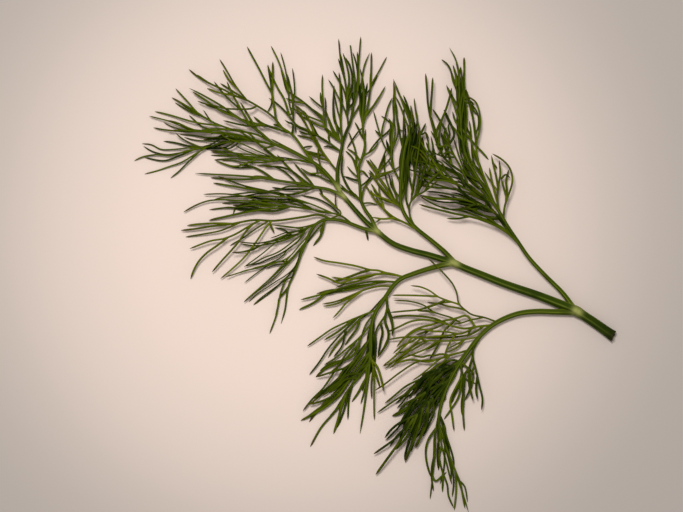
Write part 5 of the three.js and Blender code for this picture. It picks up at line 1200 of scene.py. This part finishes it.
# %% [markdown]
# ## A tree that turns paths into threads
#
# A thread could be a Bezier curve with a bevel, one object for each. With hundreds of them Geometry
# Nodes are better: all the paths of a spray go in as one mesh of plain edges, whose vertices carry
# their radius, and come out as one mesh of tapered tubes. The same tree makes the stalks: with ribs
# asked for, its round profile gets that many waves.

# %% The tree for ribbed and plain strands
RIB_TURN = -0.535  # turns the first rib off the top, as a share of the gap between two ribs


def strand_tree():
    """The tree, and the identifier of each of its inputs."""
    tree = bpy.data.node_groups.new("Strands along paths", "GeometryNodeTree")
    tree.interface.new_socket("Paths", in_out="INPUT", socket_type="NodeSocketGeometry")
    inputs = {name: tree.interface.new_socket(name, in_out="INPUT", socket_type=kind).identifier
              for name, kind in (("Sides", "NodeSocketInt"), ("Ribs", "NodeSocketInt"),
                                 ("Rib depth", "NodeSocketFloat"), ("Finish", "NodeSocketMaterial"))}
    tree.interface.new_socket("Strands", in_out="OUTPUT", socket_type="NodeSocketGeometry")
    make = tree.nodes.new
    given, made = make("NodeGroupInput"), make("NodeGroupOutput")

    def calculated(operation, *values):
        """The output of a Math node. Each value is a (node, output) pair or a constant."""
        node = make("ShaderNodeMath")
        node.operation = operation
        for socket, value in zip(node.inputs, values):
            feed(tree, value, socket)
        return node, 0

    circle = make("GeometryNodeCurvePrimitiveCircle")
    circle.inputs["Radius"].default_value = 1.0
    link(tree, given, "Sides", circle, "Resolution")
    turn = calculated("DIVIDE", (make("GeometryNodeInputIndex"), 0), (given, "Sides"))
    angle = calculated("MULTIPLY_ADD", turn, (given, "Ribs"), RIB_TURN)
    wave = calculated("COSINE", calculated("MULTIPLY", angle, 2 * math.pi))
    scaled = make("ShaderNodeVectorMath")
    scaled.operation = "SCALE"
    link(tree, make("GeometryNodeInputPosition"), 0, scaled, 0)
    feed(tree, calculated("MULTIPLY_ADD", wave, (given, "Rib depth"), 1.0), scaled.inputs["Scale"])
    profile = make("GeometryNodeSetPosition")
    link(tree, circle, "Curve", profile, "Geometry")
    link(tree, scaled, 0, profile, "Position")
    ribs = make("GeometryNodeStoreNamedAttribute")
    ribs.inputs["Name"].default_value = "rib"
    link(tree, profile, 0, ribs, "Geometry")
    feed(tree, calculated("MULTIPLY_ADD", wave, 0.5, 0.5), ribs.inputs["Value"])

    paths = make("GeometryNodeMeshToCurve")
    link(tree, given, "Paths", paths, "Mesh")
    thick = make("GeometryNodeInputNamedAttribute")
    thick.inputs["Name"].default_value = "thick"
    tubes = make("GeometryNodeCurveToMesh")
    tubes.inputs["Fill Caps"].default_value = True
    link(tree, paths, 0, tubes, "Curve")
    link(tree, ribs, 0, tubes, "Profile Curve")
    link(tree, thick, "Attribute", tubes, "Scale")
    last = tubes
    for kind in ("GeometryNodeSetShadeSmooth", "GeometryNodeRealizeInstances", "GeometryNodeSetMaterial"):
        node = make(kind)
        link(tree, last, 0, node, "Geometry")
        last = node
    link(tree, given, "Finish", last, "Material")
    link(tree, last, 0, made, "Strands")
    return tree, inputs


strands_along_paths, strand_inputs = strand_tree()
print("nodes in the strand tree:", len(strands_along_paths.nodes))

# %% From paths to a plain mesh
THREAD_SIDES = 6


def path_mesh(name, drawn_strands):
    """All the paths as one mesh of edges, with the numbers as attributes of its vertices."""
    mesh = bpy.data.meshes.new(name)
    places = np.vstack([strand["place"] for strand in drawn_strands])
    edges, start = [], 0
    for strand in drawn_strands:
        count = len(strand["place"])
        edges.extend((start + k, start + k + 1) for k in range(count - 1))
        start += count
    mesh.from_pydata(places.tolist(), edges, [])
    for key in ("thick", "along", "pale", "tint", "cut"):
        layer = mesh.attributes.new(key, "FLOAT", "POINT")
        values = np.concatenate([strand[key] for strand in drawn_strands])
        layer.data.foreach_set("value", values.astype(np.float32))
    return mesh


def solid_strands(name, drawn_strands, finish, sides=THREAD_SIDES, ribs=0, rib_depth=0.0):
    """Run the strand tree over the paths and keep the result as a plain mesh object."""
    holder = bpy.data.objects.new(name, path_mesh(name + "_paths", drawn_strands))
    bpy.context.collection.objects.link(holder)
    modifier = holder.modifiers.new("Strands", "NODES")
    modifier.node_group = strands_along_paths
    for key, value in (("Sides", sides), ("Ribs", ribs), ("Rib depth", rib_depth), ("Finish", finish)):
        modifier[strand_inputs[key]] = value
    depsgraph = bpy.context.evaluated_depsgraph_get()
    mesh = bpy.data.meshes.new_from_object(holder.evaluated_get(depsgraph), depsgraph=depsgraph)
    holder.modifiers.clear()
    old = holder.data
    holder.data = mesh
    bpy.data.meshes.remove(old)
    mesh.name = name
    return holder


print("sides of a thread:", THREAD_SIDES)

# %% [markdown]
# ## From strands to drawn threads
#
# The laying gave every strand a place and a radius for each step. What the eye sees needs a little
# more: a thread keeps its thickness nearly to the end and then comes to a point, and it widens into
# the joint that it grows from. So the drawn radius follows the strand's length, and each step also
# gets the numbers that the materials read.

# %% Drawn radius and numbers of a thread
THREAD_STEP = 0.9  # mm between the rings of a drawn thread
THREAD_DRAWN = (0.55, 0.48)  # drawn width at root and tip
WIDTH_CHANCE = (0.85, 1.2)  # a thread is drawn this much thinner or thicker than that
POINT_LENGTH, POINT_LEAST = 1.3, 0.03  # mm over which it comes to a point, and how blunt that stays
JOINT_LENGTH, JOINT_SWELL, JOINT_PALE = 1.1, 0.15, 0.12  # mm, and how much wider and paler there
LIES_AT = 1.06  # a strand's middle is never lower than this many radii


def between(first, last, share):
    """A value that goes evenly from a first one to a last one."""
    return first + (last - first) * share


def walk(strand, step):
    """A strand in even steps: its path, how far each place is from the root, and the same as a share."""
    path = even_steps(strand["path"], step)
    walked = walked_along(path)
    return path, walked, walked / walked[-1]


def on_table(path, radius):
    """The path in metres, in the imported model's frame, and nowhere in the table."""
    path[:, 2] = np.maximum(path[:, 2], LIES_AT * radius)
    return (path + shift) * MM


def drawn_thread(strand, fuller=1.0, shade_factor=1.0):
    """A thread's path, drawn radius and numbers: `fuller` widens it, the shade factor paints shade on it."""
    path, walked, share = walk(strand, THREAD_STEP)
    near_joint = np.exp(-walked / JOINT_LENGTH)
    radius = fuller * chance.uniform(*WIDTH_CHANCE) * between(*THREAD_DRAWN, share) / 2
    radius = radius * (1 + JOINT_SWELL * near_joint)
    place = on_table(path, radius)
    radius = radius * np.sqrt(np.clip((walked[-1] - walked) / POINT_LENGTH, POINT_LEAST, 1))
    # Painted shade: the shade factor lowers the random tint in the densest sprays.
    tint = np.full(len(path), shade_factor * chance.uniform(*strand["tint"]))
    return {"place": place, "thick": radius * MM, "along": share, "pale": JOINT_PALE * near_joint,
            "tint": tint, "cut": np.zeros(len(path))}


print("a thread ends in a point over its last", POINT_LENGTH, "mm")

# %% [markdown]
# ## The sprays
#
# Each spray of the plan becomes one piece of threads. It takes the place of the imported model's
# spray of the same name. Sprays differ: some have stout threads and some hair-thin ones, and in the
# lowest and densest the threads shade each other, which is painted in as a deeper green. Two tables
# say so, by the start of a spray's name. The first entry that fits a name counts, and a spray
# without one stays as it is.

# %% Make the sprays
FULLER = {
    "left_2_brush_spray_1": 1.15, "left_2_brush": 1.2, "left_2_upper": 1.1,
    "left_2_mid": 1.1, "left_2_side": 1.1, "left_2_inner": 1.1, "left_2_edge": 1.15,
    "left_3_fan": 0.8, "left_3_low": 0.74, "left_3_band": 0.9,
    "far_band": 0.88, "near_band": 0.86, "far_upper": 0.9, "middle_feather": 1.15,
    "right_1_tall": 1.2, "right_2_left": 0.9, "right_2": 1.05,
    "left_1_dense": 1.05, "left_1_bottom": 1.25, "left_1_side": 1.3, "left_1_low": 1.2,
}
# Painted shade: the densest sprays are drawn a deeper green, where their threads shade each other.
DEEPER_IN_SHADE = {"left_1_bottom": 0.45, "left_1_dense": 0.6, "right_2_left": 0.85, "right_2_bend": 0.8,
          "right_1_low": 0.8}
finishes = {"leaf": leaf_green, "young_leaf": young_green, "stalk": stalk_green, "side_stalk": side_green}
triangles = 0
for name, entry in SPRAYS.items():
    fuller, shade_factor = [next((by for start, by in table.items() if name.startswith(start)), 1.0)
                          for table in (FULLER, DEEPER_IN_SHADE)]
    piece = solid_strands(name.replace("spray", "threads"),
                          [drawn_thread(s, fuller, shade_factor) for s in grown[name]],
                          finishes[entry["finish"]])
    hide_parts(name)
    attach(piece, "root")
    triangles += sum(len(p.vertices) - 2 for p in piece.data.polygons)
print("sprays:", len(SPRAYS), "triangles:", triangles)

# %% [markdown]
# ## The stalks
#
# A stalk swells a little where side stalks leave it, and a side stalk wraps its parent with a wider
# foot. Both are pale there. The threads that grow straight on a stalk are a piece of their own.

# %% Drawn radius and numbers of a stalk
STALK_STEP = 0.5  # mm between the rings of a drawn stalk
FORK_REACH, FORK_SWELL = 1.3, 0.1  # mm, and how much wider there
FOOT_REACH, FOOT_SWELL = 2.2, 0.3
FOOT_PALE_REACH, FOOT_PALE = 1.7, 0.8
CUT_REACH, CUT_SWELL, CUT_DRY = 1.5, 0.14, 0.8  # CUT_DRY is the length in mm that has dried
CUT_SHADE, CUT_SHADE_LENGTH = 0.1, 14.0  # the green fades in from this share over this length
END_TAPER, END_LEAST = 3.0, 0.2  # mm over which a side stalk thins out at its tip, and what stays


def drawn_stalk(strand, fork_places, has_foot):
    """A stalk's path, drawn radius and numbers. One without a foot has the cut end."""
    path, walked, share = walk(strand, STALK_STEP)
    radius = between(strand["radius"][0], strand["radius"][-1], share)
    for x, y in fork_places:
        away = np.hypot(path[:, 0] - x, path[:, 1] - y)
        radius = radius * (1 + FORK_SWELL * np.exp(-((away / FORK_REACH) ** 2)))
    pale, cut, tint = np.zeros(len(path)), np.zeros(len(path)), np.ones(len(path))
    if has_foot:
        radius = radius * (1 + FOOT_SWELL * np.exp(-walked / FOOT_REACH))
        pale = FOOT_PALE * np.exp(-((walked / FOOT_PALE_REACH) ** 2))
    else:
        radius = radius * (1 + CUT_SWELL * np.exp(-walked / CUT_REACH))
        tint = between(CUT_SHADE, 1, np.clip(walked / CUT_SHADE_LENGTH, 0, 1))
        cut = np.exp(-walked / CUT_DRY)
    place = on_table(path, radius)
    if has_foot:
        radius = radius * np.clip((walked[-1] - walked) / END_TAPER + END_LEAST, 0, 1)
    return {"place": place, "thick": radius * MM, "along": share, "pale": pale, "tint": tint, "cut": cut}


print("a side stalk's foot is", round(100 * FOOT_SWELL), "% wider")

# %% Make the stalks
RIBS, RIB_DEPTH, SIDES_PER_RIB = 5, 0.07, 6
SPOT_PALE, SPOT_LEAST, SPOT_SHARE = 0.95, 0.5, 0.5  # its size: mm, and more by this share of the radius


def pale_spots(mesh, fork_places, thick):
    """Give the vertices around each fork their share of its pale spot, round and not a band."""
    places = np.empty(len(mesh.vertices) * 3, np.float32)
    mesh.vertices.foreach_get("co", places)
    places = places.reshape(-1, 3) / MM - shift
    pale = np.empty(len(places), np.float32)
    mesh.attributes["pale"].data.foreach_get("value", pale)
    reach = SPOT_LEAST + SPOT_SHARE * thick
    for x, y in fork_places:
        away = np.hypot(places[:, 0] - x, places[:, 1] - y)
        pale = np.maximum(pale, SPOT_PALE * np.exp(-((away / reach) ** 2)))
    mesh.attributes["pale"].data.foreach_set("value", pale.astype(np.float32))


for name, entry in STALKS.items():
    stalk, *threads = grown[name]
    forks = [grown[other][0]["path"][0][:2] for other, e in STALKS.items() if e["from"] == name]
    piece = solid_strands(name + "_skin", [drawn_stalk(stalk, forks, entry["from"] is not None)],
                          finishes[entry["finish"]], SIDES_PER_RIB * RIBS, RIBS, RIB_DEPTH)
    pale_spots(piece.data, forks, stalk["radius"][0])
    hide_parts(name)
    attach(piece, "root")
    side_threads = solid_strands(name + "_threads", [drawn_thread(s) for s in threads], leaf_green)
    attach(side_threads, "root")
print("stalks:", len(STALKS))

# %% [markdown]
# ## The torn end
#
# The stalk was broken off more than cut: its rim is ragged, with a few notches, and the soft pith
# inside has shrunk back. The tube's flat cap is where this is made: it is inset, pushed in, and the
# rim is pulled in and out along the stalk.

# %% Tear the cut end
RIM_WIDTH = 0.3 * MM
PITH_DEPTH = 0.3 * MM
TEARS = ((0.3, 1, math.pi / 2), (0.2, 6, 0), (0.1, 10, 1))  # mm, waves around the rim, phase
CAP_CORNERS = 8  # a face with more corners than this is a cap


def tear_end(piece, outward):
    """Inset the cap of the cut end, sink it, and tear its rim."""
    shape = bmesh.new()
    shape.from_mesh(piece.data)
    cap = max(shape.faces, key=lambda f: (len(f.verts) > CAP_CORNERS, f.calc_center_median().x))
    middle_of_cap = cap.calc_center_median()
    across = outward.cross(Vector((0, 0, 1))).normalized()
    up = across.cross(outward)
    made = bmesh.ops.inset_region(shape, faces=[cap], thickness=RIM_WIDTH, use_even_offset=True)
    pith = set(cap.verts)
    rim = {vertex for face in made["faces"] for vertex in face.verts} - pith
    for vertex in rim:
        away = vertex.co - middle_of_cap
        angle = math.atan2(away.dot(up), away.dot(across))
        tear = sum(size * math.sin(waves * angle + phase) for size, waves, phase in TEARS)
        vertex.co += outward * tear * MM
    for vertex in pith:
        vertex.co -= outward * PITH_DEPTH
    bmesh.ops.recalc_face_normals(shape, faces=shape.faces)
    shape.to_mesh(piece.data)
    shape.free()
    return len(rim)


AIM_STEPS = 3  # the direction of the stalk's end is measured over this many steps of its path
skin = bpy.data.objects["main_stalk_skin"]
root, next_place = [Vector(grown["main_stalk"][0]["path"][k]) for k in (0, AIM_STEPS)]
print("corners of the torn rim:", tear_end(skin, (root - next_place).normalized()))

# %% [markdown]
# ## The table
#
# The leaf lies on a plain pale surface, in a soft pool of light that fades outward. A lamp that makes
# such a pool has to hang close over the table, and then the shadows point away from it on all sides.
# So the pool is painted: one smooth ramp over the table, from warm white under the leaf to light
# grey.

# %% Make the table
TABLE_HALF = 0.9  # metres
POOL_MIDDLE = (-0.02, 0.012, 0)  # metres
POOL_SIZE = 0.19  # metres from the pool's middle to the last of its colours
POOL = ((0.0, "f4e0d4"), (0.22, "f1ddd1"), (0.36, "e1d0c6"), (0.47, "c6bab1"), (0.58, "b4aba4"),
        (0.75, "b0a8a2"), (1.0, "b4aba4"))


def table_material():
    """Pale paint with the pool of light in it."""
    material, tree, shader = new_material("Pale table", roughness=0.8, specular=0.2)
    mapping = tree.nodes.new("ShaderNodeMapping")
    mapping.vector_type = "TEXTURE"
    mapping.inputs["Location"].default_value = POOL_MIDDLE
    mapping.inputs["Scale"].default_value = (POOL_SIZE, POOL_SIZE, 1)
    link(tree, tree.nodes.new("ShaderNodeTexCoord"), "Object", mapping, "Vector")
    away = tree.nodes.new("ShaderNodeVectorMath")
    away.operation = "LENGTH"
    link(tree, mapping, "Vector", away, 0)
    shade = tree.nodes.new("ShaderNodeValToRGB")
    shade.color_ramp.interpolation = "B_SPLINE"
    link(tree, away, "Value", shade, "Fac")
    elements = shade.color_ramp.elements
    elements[0].color, elements[1].color = paint(POOL[0][1]), paint(POOL[-1][1])
    for position, colour in POOL[1:-1]:
        elements.new(position).color = paint(colour)
    link(tree, shade, "Color", shader, "Base Color")
    return material


corners = [(x * TABLE_HALF, y * TABLE_HALF, 0) for x, y in ((-1, -1), (1, -1), (1, 1), (-1, 1))]
table_mesh = bpy.data.meshes.new("table")
table_mesh.from_pydata(corners, [], [(0, 1, 2, 3)])
table_mesh.materials.append(table_material())
table = bpy.data.objects.new("table", table_mesh)
bpy.context.collection.objects.link(table)
print("table is", 2 * TABLE_HALF, "m wide")

# %% [markdown]
# ## The light
#
# Soft daylight from one side gives every raised thread a faint shadow beside it. A sun lamp would
# draw hard shadows and a bare bright world hardly any. A round area lamp a good metre away, as wide
# as a small window, gives the soft edge, and the world fills the shadows.

# %% Make the light
# Places and sizes are in metres.
WINDOW = {"place": (-0.13, 0.38, 1.1), "size": 0.28, "watts": 8.6, "colour": (1.0, 0.98, 0.965)}
ROOM_COLOUR, ROOM_STRENGTH = (1.0, 0.975, 0.95, 1.0), 0.42
lamp = bpy.data.lights.new("window", "AREA")
lamp.shape = "DISK"
lamp.size = WINDOW["size"]
lamp.energy = WINDOW["watts"]
lamp.color = WINDOW["colour"]
window = bpy.data.objects.new("window", lamp)
window.location = WINDOW["place"]
window.rotation_euler = (-Vector(WINDOW["place"])).to_track_quat("-Z", "Y").to_euler()
bpy.context.collection.objects.link(window)
world = bpy.data.worlds.new("soft room")
bpy.context.scene.world = world
world.use_nodes = True
background = world.node_tree.nodes["Background"]
background.inputs["Color"].default_value = ROOM_COLOUR
background.inputs["Strength"].default_value = ROOM_STRENGTH

# %% [markdown]
# ## The camera
#
# The leaf is flat, so it is seen best from straight above. A camera close by would show the high
# threads pushed outward. From a metre away even the highest one moves by about half a millimetre at
# most, so the lens is long and the leaf is seen nearly without perspective.

# %% Make the camera
VIEW_MIDDLE = (-9.38, 5.46)  # mm, in the plan
VIEW_WIDTH = 191.24  # mm of table that the camera sees from side to side
SENSOR = 36  # mm
CAMERA_HEIGHT = 1.0  # metres
lens = bpy.data.cameras.new("camera")
lens.sensor_width = SENSOR
lens.lens = SENSOR / (VIEW_WIDTH * MM) * CAMERA_HEIGHT
camera = bpy.data.objects.new("camera", lens)
camera.location = (*[(VIEW_MIDDLE[k] + shift[k]) * MM for k in (0, 1)], CAMERA_HEIGHT)
bpy.context.collection.objects.link(camera)
bpy.context.scene.camera = camera
bpy.context.scene.view_settings.view_transform = "Standard"
print("lens:", round(lens.lens, 1), "mm")
